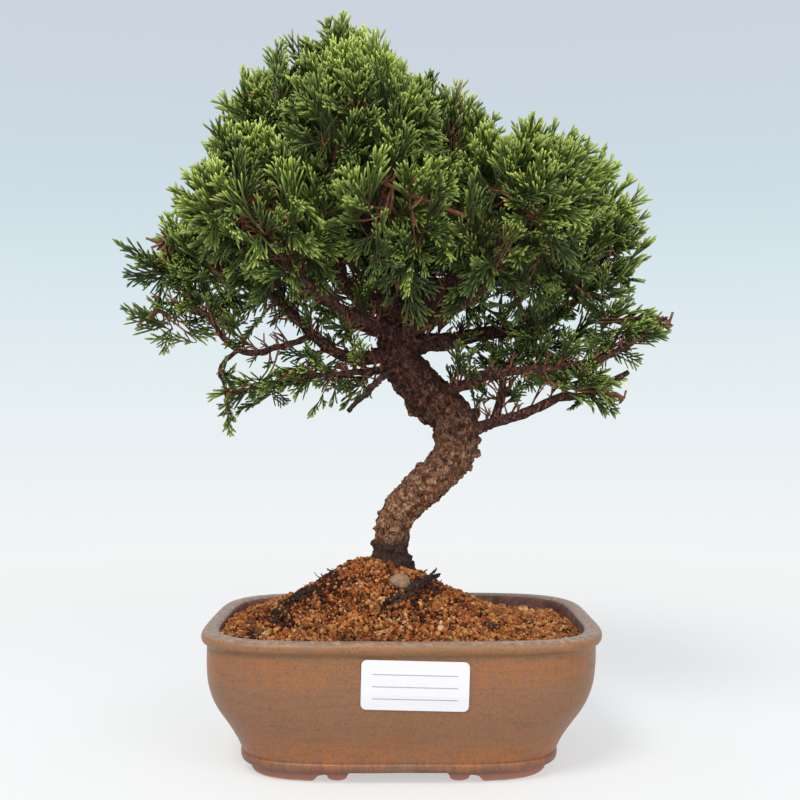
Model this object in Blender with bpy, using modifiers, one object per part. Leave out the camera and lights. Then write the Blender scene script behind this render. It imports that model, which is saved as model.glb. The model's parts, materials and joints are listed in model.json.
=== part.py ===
"""A small juniper bonsai in a rectangular glazed pot, as separate solids.

Sizes below are millimetres.  Heights written "above the rim" start at the top of the pot's lip, so
the whole tree follows the pot when its height changes.  The model's origin is the middle of the
finished object's box, at the level of the feet; +X is to the right, +Y is towards the back.
"""
import math

import bmesh
import bpy
from mathutils import Matrix, Vector

MM = 0.001

# ---------------------------------------------------------------- driving dimensions: the pot
RIM_LENGTH = 182.4
RIM_DEPTH = 132.0
POT_HEIGHT = 63.7
BASE_LENGTH = 144.6
BASE_DEPTH = 106.0
CORNER_POWER = 4.4          # exponent of the plan outline: 2 is an ellipse, 10 nearly a rectangle
LIP_HEIGHT = 6.7
LIP_OVERHANG = 2.6
WALL = 5.5
FLOOR = 6.0
BASE_BAND_HEIGHT = 4.3
FOOT_HEIGHT = 5.3
FOOT_SETBACK = 4.0          # from the base's edge to the foot's outer face
FOOT_WIDTH = 11.0
FOOT_ARCH_LENGTH = 42.0     # open stretch between the two front feet
SIDE_ARCH_LENGTH = 30.0
FOOT_LOBE = 10.0            # small scroll beside each foot
FOOT_LOBE_RISE = 1.8
FOOT_NOTCH = 5.0
DRAIN_RADIUS = 7.5
DRAIN_SPACING = 66.0
RING_POINTS = 40

# The body's side: share of its height, and share of the way from base width to full width
BODY_SWELL = ((0.0, 0.0), (0.11, 0.14), (0.25, 0.38), (0.44, 0.73), (0.63, 0.93), (0.82, 0.99),
              (1.0, 1.0))

# ---------------------------------------------------------------- driving dimensions: inside the pot
GAP = 0.3                   # air left between solids that touch
MESH_CELLS = 4
MESH_CELL = 4.5
MESH_STRUT = 1.2
MESH_THICKNESS = 0.8
CLIP_WIRE = 1.0
CLIP_TAIL = 7.0

SOIL_EDGE_DROP = 6.7        # soil level at the ends of the pot, below the rim
MOUND_HEIGHT = 34.0
MOUND_X = -14.0
MOUND_LENGTH = 51.0
MOUND_FRONT = 42.0
MOUND_BACK = 36.0

# ---------------------------------------------------------------- driving dimensions: the label
LABEL_LENGTH = 45.7
LABEL_HEIGHT = 21.2
LABEL_CORNER = 2.2
LABEL_THICKNESS = 0.4
LABEL_X = 5.5
LABEL_DROP = 18.1           # middle of the label, below the rim
LABEL_TILT = -1.4           # degrees

# ---------------------------------------------------------------- driving dimensions: the tree
TRUNK_GIRTH = 1.0           # multiplies the radii of the trunk
LIMB_GIRTH = 1.0            # multiplies the radii of the limbs
TRUNK_SIDES_STEP = 4        # bevel resolution: 12 sides
LIMB_SIDES_STEP = 2         # 8 sides
PATH_STEPS = 2              # points added between two points of a path
FOLIAGE_GAP = 0.8
LIMB_END_GAP = 1.6

# Trunk: x, y, height above the rim, radius
TRUNK = (
    (-6.0, 2.0, -8.0, 12.5),
    (-6.0, 2.0, 12.0, 12.0),
    (-5.6, 2.0, 22.0, 10.2),
    (-5.3, 2.0, 30.0, 8.6),
    (-4.6, 1.0, 40.0, 8.6),
    (-2.2, -1.0, 48.0, 8.7),
    (3.4, -3.0, 55.5, 9.0),
    (11.2, -4.0, 62.5, 9.4),
    (19.0, -4.5, 69.5, 9.8),
    (24.6, -4.5, 77.5, 10.3),
    (26.2, -4.0, 86.5, 10.4),
    (23.8, -3.0, 95.5, 10.5),
    (16.2, -2.0, 102.5, 10.6),
    (8.2, -1.0, 110.5, 10.7),
    (1.8, 0.0, 118.5, 10.4),
    (-2.0, 1.0, 127.0, 9.6),
    (-3.0, 2.0, 138.0, 8.4),
    (-1.6, 3.0, 149.0, 8.4),
    (-5.0, 4.0, 160.0, 6.6),
    (-10.0, 4.0, 173.0, 5.2),
    (-14.0, 3.0, 192.0, 4.2),
    (-17.0, 2.0, 212.0, 3.4),
    (-20.0, 1.0, 232.0, 2.6),
)
SOCKET_TOP = 36.0           # the soil's socket follows the trunk up to this height above the rim

# Limbs: name, parent, then x, y, height above the rim and radius along each
LIMBS = (
    ("limb_low_right", "trunk",
     ((29, -4, 87, 2.9), (36, -6, 89, 2.8), (44, -8, 92, 2.5), (52, -10, 95, 2.3), (61, -13, 98, 2.2),
      (73, -17, 104, 1.9), (84, -20, 105, 1.7), (91, -22, 108, 1.5), (102, -26, 115, 1.2))),
    ("limb_low_right_riser", "limb_low_right",
     ((44, -8, 92, 2.0), (46, -8, 101, 1.9), (48, -6, 109, 1.7), (50, -2, 117, 1.4), (54, 4, 127, 1.2))),
    ("limb_right_whip", "trunk",
     ((14, -4, 107, 2.3), (32, -15, 111, 2.2), (43, -20, 115, 2.1), (59, -25, 117, 1.9),
      (72, -28, 118, 1.7), (88, -31, 121, 1.5), (101, -35, 127, 1.3), (109, -38, 133, 1.2),
      (116, -40, 137, 1.1))),
    ("limb_right_thick", "trunk",
     ((1, 2, 130, 4.4), (10, 4, 131, 4.2), (22, 7, 132, 4.0), (35, 10, 135, 3.6), (46, 12, 137, 3.2),
      (57, 12, 137, 2.8), (70, 10, 141, 2.4), (83, 8, 150, 2.0))),
    ("limb_right_upper", "trunk",
     ((-1, 0, 143, 4.3), (7, -4, 145, 4.2), (14, -8, 149, 4.0), (21, -12, 157, 3.7), (28, -14, 164, 3.3),
      (37, -14, 172, 2.9), (48, -14, 182, 2.4))),
    ("limb_left_upper", "trunk",
     ((-2, 1, 150, 3.9), (-10, -6, 150, 3.8), (-19, -11, 151, 3.5), (-27, -14, 158, 3.1),
      (-30, -14, 170, 2.7), (-35, -14, 184, 2.4), (-44, -12, 198, 2.0))),
    ("limb_left_low", "trunk",
     ((-3, 0, 126, 3.1), (-12, -4, 124, 2.9), (-23, -8, 123, 2.8), (-34, -10, 127, 2.6),
      (-42, -12, 134, 2.5), (-51, -12, 143, 2.3), (-61, -10, 152, 2.1), (-70, -8, 159, 1.9))),
    ("limb_left_droop", "limb_left_low",
     ((-42, -12, 134, 1.6), (-50, -17, 130, 1.5), (-60, -19, 127, 1.4), (-70, -20, 125, 1.4),
      (-79, -20, 128, 1.3), (-86, -20, 136, 1.2), (-92, -18, 144, 1.2), (-102, -14, 148, 1.1),
      (-112, -12, 148, 1.0))),
    ("limb_left_hanging", "limb_left_droop",
     ((-76, -20, 126.6, 1.0), (-82, -21, 121, 1.0), (-84, -22, 116, 1.0), (-82, -22, 110, 1.0))),
    ("limb_left_under", "trunk",
     ((-4, -2, 118, 1.7), (-14, -9, 117, 1.6), (-24, -16, 116, 1.4), (-33, -18, 115, 1.2),
      (-43, -20, 113, 1.1))),
    ("dead_twig", "trunk",
     ((-1, -6, 118, 1.5), (-9, -14, 114, 1.4), (-16, -18, 107, 1.3), (-21, -20, 102, 1.2),
      (-25, -22, 98, 1.1))),
    ("limb_back_left", "trunk",
     ((-2, 4, 134, 3.4), (-12, 16, 138, 3.1), (-26, 28, 146, 2.7), (-42, 40, 158, 2.2),
      (-58, 50, 172, 1.8))),
    ("limb_back_right", "trunk",
     ((-2, 4, 141, 3.3), (10, 16, 144, 3.0), (24, 28, 152, 2.6), (38, 40, 162, 2.2),
      (52, 50, 176, 1.8))),
    ("limb_front_left", "trunk",
     ((-3, 0, 137, 2.8), (-14, -14, 139, 2.6), (-28, -28, 145, 2.3), (-44, -42, 156, 2.0),
      (-58, -52, 170, 1.7))),
    ("limb_front_right", "trunk",
     ((-2, 0, 136, 2.7), (10, -14, 138, 2.5), (24, -28, 144, 2.2), (38, -42, 155, 1.9),
      (50, -52, 168, 1.6))),
)

# Foliage: name, middle (x, y, height above the rim), reach along x, y and z
FOLIAGE = (
    ("apex", (-28, 0, 262), (35, 34, 30)),
    ("top_right", (18, -8, 242), (38, 36, 25)),
    ("top_left", (-62, -6, 243), (32, 38, 31)),
    ("upper_back", (-14, 52, 236), (46, 34, 32)),
    ("upper_front", (-18, -52, 228), (42, 32, 32)),
    ("right_shoulder", (70, -6, 214), (40, 42, 24)),
    ("right_tip", (96, 0, 184), (28, 38, 24)),
    ("right_back", (52, 54, 204), (44, 36, 30)),
    ("right_front", (52, -54, 196), (44, 34, 30)),
    ("left_shoulder", (-88, 2, 206), (36, 42, 22)),
    ("left_tip", (-112, -4, 178), (28, 34, 16)),
    ("left_back", (-66, 56, 198), (44, 36, 28)),
    ("left_front", (-64, -56, 196), (44, 34, 28)),
    ("center_front", (-4, -70, 192), (34, 26, 28)),
    ("center_back", (-6, 72, 194), (40, 28, 30)),
    ("left_inner", (-58, -6, 182), (36, 30, 18)),
    ("right_inner", (48, 0, 182), (34, 30, 18)),
    ("low_right", (84, -4, 156), (38, 42, 17)),
    ("low_right_under", (74, 6, 124), (30, 24, 13)),
    ("low_right_tip", (98, -24, 106), (14, 12, 12)),
    ("whip_tip", (118, -38, 138), (11, 10, 12)),
    ("left_droop", (-122, -12, 141), (18, 18, 12)),
    ("left_hanging", (-81, -22, 104), (8, 8, 13)),
    ("left_under", (-55, -22, 112), (18, 12, 8)),
)
SMALL_REACH = 20.0          # foliage smaller than this gets the coarser ball


# ---------------------------------------------------------------- scene and small helpers
def collection(name):
    group = bpy.data.collections.new(name)
    bpy.context.scene.collection.children.link(group)
    return group


def clear_scene():
    for old in list(bpy.data.objects):
        bpy.data.objects.remove(old)


def material(name, colour, roughness, metallic=0.0):
    made = bpy.data.materials.new(name)
    made.use_nodes = True
    shader = made.node_tree.nodes["Principled BSDF"]
    shader.inputs["Base Color"].default_value = (*colour, 1.0)
    shader.inputs["Roughness"].default_value = roughness
    shader.inputs["Metallic"].default_value = metallic
    return made


def part_from_bmesh(name, shape, finish, root, smooth_angle=40.0):
    """Turn a bmesh in millimetres into a named part under the root."""
    bmesh.ops.scale(shape, vec=(MM, MM, MM), verts=shape.verts)
    mesh = bpy.data.meshes.new(name)
    shape.to_mesh(mesh)
    shape.free()
    mesh.shade_smooth()
    mesh.set_sharp_from_angle(angle=math.radians(smooth_angle))
    made = bpy.data.objects.new(name, mesh)
    parts.objects.link(made)
    made.parent = root
    if finish:
        mesh.materials.append(finish)
    return made


def helper_from_bmesh(name, shape, root):
    """A cutter or a piece that is joined to another: it isn't a part itself."""
    made = part_from_bmesh(name, shape, None, root)
    parts.objects.unlink(made)
    cutters.objects.link(made)
    made.hide_render = True
    made.display_type = "WIRE"
    return made


def boolean(target, tool, operation="DIFFERENCE"):
    step = target.modifiers.new(tool.name, "BOOLEAN")
    step.operation = operation
    step.object = tool
    step.solver = "EXACT"


def box(name, middle, size, root):
    shape = bmesh.new()
    bmesh.ops.create_cube(shape, size=1.0)
    bmesh.ops.scale(shape, vec=size, verts=shape.verts)
    bmesh.ops.translate(shape, vec=middle, verts=shape.verts)
    return helper_from_bmesh(name, shape, root)


def loft(rings):
    """Closed solid through rings of equal length, from the first cap to the last."""
    shape = bmesh.new()
    rows = [[shape.verts.new(point) for point in ring] for ring in rings]
    for lower, upper in zip(rows, rows[1:]):
        for i in range(len(lower)):
            j = (i + 1) % len(lower)
            shape.faces.new((lower[i], lower[j], upper[j], upper[i]))
    shape.faces.new(list(reversed(rows[0])))
    shape.faces.new(rows[-1])
    bmesh.ops.recalc_face_normals(shape, faces=shape.faces)
    return shape


# ---------------------------------------------------------------- the pot's outline and profile
def plan_ring(half_length, half_depth, height):
    """Points of the pot's plan, a rounded rectangle with slightly bowed sides."""
    ring = []
    for i in range(RING_POINTS):
        turn = 2 * math.pi * (i + 0.5) / RING_POINTS
        c, s = math.cos(turn), math.sin(turn)
        reach = (abs(c) ** CORNER_POWER + abs(s) ** CORNER_POWER) ** (-1 / CORNER_POWER)
        ring.append(Vector((half_length * reach * c, half_depth * reach * s, height)))
    return ring


def body_bottom():
    return FOOT_HEIGHT + BASE_BAND_HEIGHT


def body_top():
    return POT_HEIGHT - LIP_HEIGHT


def outer_half(height):
    """Half length and half depth of the body's outer face at a height."""
    share = (height - body_bottom()) / (body_top() - body_bottom())
    share = min(max(share, 0.0), 1.0)
    swell = 1.0
    for (h0, s0), (h1, s1) in zip(BODY_SWELL, BODY_SWELL[1:]):
        if h0 <= share <= h1:
            swell = s0 + (s1 - s0) * (share - h0) / (h1 - h0)
    top_length = RIM_LENGTH / 2 - LIP_OVERHANG
    top_depth = RIM_DEPTH / 2 - LIP_OVERHANG
    return (BASE_LENGTH / 2 + (top_length - BASE_LENGTH / 2) * swell,
            BASE_DEPTH / 2 + (top_depth - BASE_DEPTH / 2) * swell)


def inner_half(height):
    length, depth = outer_half(height)
    return length - WALL, depth - WALL


def floor_top():
    return FOOT_HEIGHT + FLOOR


def body_heights():
    return [body_bottom() + share * (body_top() - body_bottom()) for share, _ in BODY_SWELL]


def pot_shape():
    """Base band, swelling body, rounded lip, inner wall and floor as one closed profile."""
    base_length, base_depth = BASE_LENGTH / 2, BASE_DEPTH / 2
    rim_length, rim_depth = RIM_LENGTH / 2, RIM_DEPTH / 2
    rings = []

    def ring(length, depth, inset, height):
        rings.append(plan_ring(length - inset, depth - inset, height))

    ring(base_length, base_depth, 0.8, FOOT_HEIGHT)
    ring(base_length, base_depth, -0.3, FOOT_HEIGHT + 0.9)
    ring(base_length, base_depth, -0.4, FOOT_HEIGHT + BASE_BAND_HEIGHT - 1.2)
    for height in body_heights():
        ring(*outer_half(height), 0.0, height)
    ring(rim_length, rim_depth, 0.5, body_top() + 0.9)
    ring(rim_length, rim_depth, 0.0, body_top() + 2.2)
    ring(rim_length, rim_depth, 0.1, POT_HEIGHT - 1.6)
    ring(rim_length, rim_depth, 0.9, POT_HEIGHT - 0.4)
    ring(rim_length, rim_depth, 2.0, POT_HEIGHT)
    ring(rim_length, rim_depth, LIP_OVERHANG + WALL - 1.6, POT_HEIGHT)
    ring(rim_length, rim_depth, LIP_OVERHANG + WALL - 0.4, POT_HEIGHT - 0.7)
    for height in reversed(body_heights()[2:]):
        ring(*inner_half(height), 0.0, height)
    ring(*inner_half(floor_top()), 0.0, floor_top() + 3.0)
    ring(*inner_half(floor_top()), 2.4, floor_top())
    return loft(rings)


def foot_cutter(name, arch, across_x, root):
    """The scrolled opening between two feet, as a plate that runs right through the foot ring."""
    half = arch / 2
    lobe = half + FOOT_LOBE
    notch = lobe + FOOT_NOTCH
    tall = FOOT_HEIGHT + 0.01
    outline = [(half, tall), (half + 1.5, FOOT_LOBE_RISE + 0.8), (half + 3.0, FOOT_LOBE_RISE),
               (lobe - 1.5, FOOT_LOBE_RISE), (lobe, FOOT_LOBE_RISE + 2.4),
               (notch - 1.8, FOOT_LOBE_RISE + 2.4), (notch + 1.0, 0.6), (notch + 1.6, -1.0)]
    outline = outline + [(-x, z) for x, z in reversed(outline)]
    reach = max(BASE_LENGTH, BASE_DEPTH)
    shape = bmesh.new()
    if across_x:
        face = shape.faces.new([shape.verts.new((-reach, x, z)) for x, z in outline])
        along = Vector((2 * reach, 0, 0))
    else:
        face = shape.faces.new([shape.verts.new((x, -reach, z)) for x, z in outline])
        along = Vector((0, 2 * reach, 0))
    pushed = bmesh.ops.extrude_face_region(shape, geom=[face])
    moved = [item for item in pushed["geom"] if isinstance(item, bmesh.types.BMVert)]
    bmesh.ops.translate(shape, vec=along, verts=moved)
    bmesh.ops.recalc_face_normals(shape, faces=shape.faces)
    return helper_from_bmesh(name, shape, root)


def foot_ring(root):
    """A low wall under the base; the foot cutters turn it into four scrolled feet."""
    outer_length = BASE_LENGTH / 2 - FOOT_SETBACK
    outer_depth = BASE_DEPTH / 2 - FOOT_SETBACK
    sunk = FOOT_HEIGHT + FLOOR / 2
    shape = loft([plan_ring(outer_length - FOOT_WIDTH, outer_depth - FOOT_WIDTH, sunk),
                  plan_ring(outer_length - FOOT_WIDTH, outer_depth - FOOT_WIDTH, 0.0),
                  plan_ring(outer_length - 1.4, outer_depth - 1.4, 0.0),
                  plan_ring(outer_length, outer_depth, 1.2),
                  plan_ring(outer_length, outer_depth, sunk)])
    caps = [face for face in shape.faces if len(face.verts) > 4]
    top = [edge for face in caps for edge in face.edges]
    bmesh.ops.delete(shape, geom=caps, context="FACES_ONLY")
    bmesh.ops.bridge_loops(shape, edges=top)
    bmesh.ops.recalc_face_normals(shape, faces=shape.faces)
    return helper_from_bmesh("foot_ring", shape, root)


def drain_places():
    return (("left", -DRAIN_SPACING / 2), ("right", DRAIN_SPACING / 2))


def make_pot(finish, root):
    pot = part_from_bmesh("pot", pot_shape(), finish, root)
    feet = foot_ring(root)
    boolean(feet, foot_cutter("front_arch", FOOT_ARCH_LENGTH, False, root))
    boolean(feet, foot_cutter("side_arch", SIDE_ARCH_LENGTH, True, root))
    boolean(pot, feet, "UNION")
    for side, x in drain_places():
        shape = bmesh.new()
        bmesh.ops.create_cone(shape, cap_ends=True, segments=16, radius1=DRAIN_RADIUS,
                              radius2=DRAIN_RADIUS, depth=4 * FLOOR)
        bmesh.ops.translate(shape, vec=(x, 0, floor_top()), verts=shape.verts)
        boolean(pot, helper_from_bmesh("drain_" + side, shape, root))
    return pot


# ---------------------------------------------------------------- drainage screens and their wires
def screen_span():
    return MESH_CELLS * MESH_CELL


def make_screen(name, x, finish, root):
    """A square screen over a drain hole: a grid whose cells are inset and opened."""
    shape = bmesh.new()
    bmesh.ops.create_grid(shape, x_segments=MESH_CELLS, y_segments=MESH_CELLS,
                          size=screen_span() / 2)
    cells = list(shape.faces)
    bmesh.ops.inset_individual(shape, faces=cells, thickness=MESH_STRUT / 2)
    bmesh.ops.delete(shape, geom=cells, context="FACES")
    bmesh.ops.translate(shape, vec=(x, 0, floor_top() + GAP), verts=shape.verts)
    screen = part_from_bmesh(name, shape, finish, root)
    wall = screen.modifiers.new("thickness", "SOLIDIFY")
    wall.thickness = MESH_THICKNESS * MM
    wall.offset = 1.0
    return screen


def screen_top():
    return floor_top() + GAP + MESH_THICKNESS


def make_clip(name, x, finish, root):
    """A bent wire over the screen, down through the drain hole and out under the floor."""
    leg = DRAIN_RADIUS - 1.6
    row = MESH_CELL / 2
    over = screen_top() + GAP + CLIP_WIRE / 2
    under = FOOT_HEIGHT - GAP - CLIP_WIRE / 2
    bend = CLIP_WIRE
    half = [(leg - bend, over), (leg - 0.3 * bend, over - 0.3 * bend), (leg, over - bend),
            (leg, under + bend), (leg + 0.3 * bend, under + 0.3 * bend), (leg + bend, under),
            (leg + CLIP_TAIL, under)]
    route = [(-a, row, z, 1.0) for a, z in reversed(half)] + [(a, row, z, 1.0) for a, z in half]
    route = [(x + a, b, z, CLIP_WIRE / 2) for a, b, z, _ in route]
    return tube(name, route, 1, finish, root)


# ---------------------------------------------------------------- soil, pebble and label
def soil_height(x, y):
    """Height of the soil: nearly level at the walls, heaped up round the trunk."""
    spread = MOUND_BACK if y > 0 else MOUND_FRONT
    heap = math.exp(-((x - MOUND_X) / MOUND_LENGTH) ** 2 - (y / spread) ** 2)
    return POT_HEIGHT - SOIL_EDGE_DROP + MOUND_HEIGHT * heap


def make_soil(finish, root, sunk_in_it):
    lift = GAP
    bottom = floor_top() + lift
    lowest_length, lowest_depth = inner_half(floor_top())
    rings = [plan_ring(lowest_length - 2.6 - lift, lowest_depth - 2.6 - lift, bottom)]
    rings.append(plan_ring(lowest_length - lift, lowest_depth - lift, bottom + 3.4))
    edge = POT_HEIGHT - SOIL_EDGE_DROP
    for height in body_heights()[2:]:
        if bottom + 5.0 < height < edge - 2.0:
            length, depth = inner_half(height)
            rings.append(plan_ring(length - lift, depth - lift, height))
    length, depth = inner_half(edge)
    for share in (1.0, 0.9, 0.75, 0.6, 0.45, 0.3, 0.15):
        ring = plan_ring((length - lift) * share, (depth - lift) * share, 0.0)
        for point in ring:
            point.z = soil_height(point.x, point.y)
        rings.append(ring)
    soil = part_from_bmesh("soil", loft(rings), finish, root)
    for tool in sunk_in_it:
        boolean(soil, tool)
    recess = CLIP_WIRE + MESH_THICKNESS + 3 * GAP
    span = screen_span() + 2 * GAP
    for side, x in drain_places():
        middle = (x, 0, floor_top() + recess / 2)
        boolean(soil, box("screen_room_" + side, middle, (span, span, recess + 2 * GAP), root))
    return soil


PEBBLE = (-1.0, -20.0)      # where it lies
PEBBLE_SIZE = (11.0, 9.0, 6.0)


def pebble_shape(extra):
    """A flat rounded stone, half sunk in the slope of the mound."""
    shape = bmesh.new()
    bmesh.ops.create_icosphere(shape, subdivisions=2, radius=1.0)
    for vert in shape.verts:
        bump = 1.0 + 0.07 * math.sin(3.1 * vert.co.x + 1.0) * math.cos(2.7 * vert.co.y)
        vert.co = Vector(vert.co[i] * (PEBBLE_SIZE[i] / 2 + extra) * bump for i in range(3))
    bmesh.ops.rotate(shape, cent=(0, 0, 0), matrix=Matrix.Rotation(math.radians(24), 3, "X"),
                     verts=shape.verts)
    height = soil_height(*PEBBLE) + 0.6
    bmesh.ops.translate(shape, vec=(PEBBLE[0], PEBBLE[1], height), verts=shape.verts)
    return shape


def label_outline():
    half_length, half_height = LABEL_LENGTH / 2, LABEL_HEIGHT / 2
    points = []
    for corner in range(4):
        sign_x = 1 if corner in (0, 3) else -1
        sign_z = 1 if corner in (0, 1) else -1
        for step in range(4):
            turn = math.radians(90 * corner + 30 * step)
            points.append((sign_x * (half_length - LABEL_CORNER) + LABEL_CORNER * math.cos(turn),
                           sign_z * (half_height - LABEL_CORNER) + LABEL_CORNER * math.sin(turn)))
    return points


def wall_front(x, height):
    """y of the pot's front face."""
    length, depth = outer_half(height)
    return -depth * (1 - (abs(x) / length) ** CORNER_POWER) ** (1 / CORNER_POWER)


def make_label(finish, root):
    """A blank paper sticker that follows the front wall."""
    shape = bmesh.new()
    shape.faces.new([shape.verts.new((x, 0, z)) for x, z in label_outline()])
    for share in (-0.3, -0.15, 0.0, 0.15, 0.3):
        bmesh.ops.bisect_plane(shape, geom=shape.faces[:] + shape.edges[:] + shape.verts[:],
                               plane_co=(LABEL_LENGTH * share, 0, 0), plane_no=(1, 0, 0))
    for share in (-0.2, 0.2):
        bmesh.ops.bisect_plane(shape, geom=shape.faces[:] + shape.edges[:] + shape.verts[:],
                               plane_co=(0, 0, LABEL_HEIGHT * share), plane_no=(0, 0, 1))
    turn = Matrix.Rotation(math.radians(-LABEL_TILT), 3, "Y")
    bmesh.ops.rotate(shape, cent=(0, 0, 0), matrix=turn, verts=shape.verts)
    for vert in shape.verts:
        vert.co.x += LABEL_X
        vert.co.z += POT_HEIGHT - LABEL_DROP
        vert.co.y = wall_front(vert.co.x, vert.co.z) - GAP
    for face in shape.faces:
        if face.normal.y > 0:
            face.normal_flip()
    label = part_from_bmesh("label", shape, finish, root)
    wall = label.modifiers.new("thickness", "SOLIDIFY")
    wall.thickness = LABEL_THICKNESS * MM
    wall.offset = 1.0
    return label


# ---------------------------------------------------------------- wood: tubes along smooth paths
def smooth_path(points):
    """Catmull-Rom points between the given ones; the fourth number is the radius."""
    points = [Vector(point) for point in points]
    result = [points[0]]
    for i in range(len(points) - 1):
        before = points[max(i - 1, 0)]
        start, end = points[i], points[i + 1]
        after = points[min(i + 2, len(points) - 1)]
        for step in range(1, PATH_STEPS + 1):
            t = step / PATH_STEPS
            result.append(0.5 * (2 * start + (end - before) * t
                                 + (2 * before - 5 * start + 4 * end - after) * t ** 2
                                 + (3 * start - before - 3 * end + after) * t ** 3))
    return result


def tube(name, path, sides_step, finish, root):
    """A closed tube with a radius at every point, as a mesh."""
    curve = bpy.data.curves.new(name, "CURVE")
    curve.dimensions = "3D"
    curve.bevel_depth = MM
    curve.bevel_resolution = sides_step
    curve.use_fill_caps = True
    spline = curve.splines.new("POLY")
    spline.points.add(len(path) - 1)
    for point, (x, y, z, radius) in zip(spline.points, path):
        point.co = (x * MM, y * MM, z * MM, 1.0)
        point.radius = radius
    drawn = bpy.data.objects.new(name + "_path", curve)
    bpy.context.scene.collection.objects.link(drawn)
    bpy.context.view_layer.update()
    mesh = bpy.data.meshes.new_from_object(drawn.evaluated_get(bpy.context.evaluated_depsgraph_get()))
    bpy.data.objects.remove(drawn)
    shape = bmesh.new()
    shape.from_mesh(mesh)
    bpy.data.meshes.remove(mesh)
    bmesh.ops.remove_doubles(shape, verts=shape.verts, dist=0.01 * MM)
    bmesh.ops.recalc_face_normals(shape, faces=shape.faces)
    bmesh.ops.scale(shape, vec=(1 / MM, 1 / MM, 1 / MM), verts=shape.verts)
    if finish:
        return part_from_bmesh(name, shape, finish, root, 60.0)
    return helper_from_bmesh(name, shape, root)


def above_rim(points, girth=1.0):
    return [(x, y, z + POT_HEIGHT, radius * girth) for x, y, z, radius in points]


def widened(path, extra):
    return [(x, y, z, radius + extra) for x, y, z, radius in path]


def make_trunk(finish, root):
    """The trunk, and two tools a gap wider: one for the soil, one for the limbs."""
    path = smooth_path(above_rim(TRUNK, TRUNK_GIRTH))
    trunk = tube("trunk", path, TRUNK_SIDES_STEP, finish, root)
    wide = widened(path, GAP)
    first = wide[0]
    socket = [(first[0], first[1], first[2] - GAP, first[3])]
    socket += [point for point in wide if point[2] < POT_HEIGHT + SOCKET_TOP]
    tools = {
        "socket": tube("trunk_socket", socket, TRUNK_SIDES_STEP, None, root),
        "room": tube("trunk_room", wide, TRUNK_SIDES_STEP, None, root),
    }
    return trunk, path, tools


def inside_foliage(point, radius):
    """True where a limb would reach into a foliage mass."""
    for _, middle, reach in FOLIAGE:
        away = [(point[i] - middle[i] - (POT_HEIGHT if i == 2 else 0))
                / (reach[i] + radius + LIMB_END_GAP) for i in range(3)]
        if sum(share * share for share in away) < 1.0:
            return True
    return False


def limb_path(points):
    """The limb's smooth path, ended where it meets the first mass of foliage."""
    kept = []
    for point in smooth_path(above_rim(points, LIMB_GIRTH)):
        if inside_foliage(point, point[3]):
            break
        kept.append(point)
    return kept


def make_limbs(finishes, root, trunk_room):
    rooms = {"trunk": trunk_room}
    parents = {parent for _, parent, _ in LIMBS}
    for name, parent, points in LIMBS:
        path = limb_path(points)
        finish = finishes["dead_wood" if name.startswith("dead") else "limb_bark"]
        limb = tube(name, path, LIMB_SIDES_STEP, finish, root)
        boolean(limb, rooms[parent])
        if name in parents:
            rooms[name] = tube(name + "_room", widened(path, GAP), LIMB_SIDES_STEP, None, root)


# Dead roots on the soil: x, y, height above the soil, radius
DEAD_ROOTS = (
    ("dead_root_right", ((-9, -35, -2.4, 1.4), (-2, -31, 0.4, 1.6), (5, -23, 1.5, 1.7), (11, -15, 2.4, 1.6),
                         (15, -10, 4.4, 1.3), (18, -7, 7.0, 0.9))),
    ("dead_root_left", ((-60, -30, -1.5, 0.8), (-55, -25, 0.5, 1.1), (-50, -17, 1.0, 1.2),
                        (-44, -11, 0.8, 1.0), (-39, -8, -1.2, 0.8))),
)


def root_path(points):
    return smooth_path([(x, y, soil_height(x, y) + z, radius) for x, y, z, radius in points])


# ---------------------------------------------------------------- foliage
def reach_towards(reach, direction):
    return 1 / math.sqrt(sum((direction[i] / reach[i]) ** 2 for i in range(3)))


def cut_away(shape, point, normal):
    """Remove what lies behind a plane and close the cut."""
    everything = shape.faces[:] + shape.edges[:] + shape.verts[:]
    cut = bmesh.ops.bisect_plane(shape, geom=everything, dist=0.3, plane_co=point,
                                 plane_no=normal, clear_inner=True)
    rim = [item for item in cut["geom_cut"] if isinstance(item, bmesh.types.BMEdge)]
    if rim:
        bmesh.ops.edgeloop_fill(shape, edges=rim)


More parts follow.
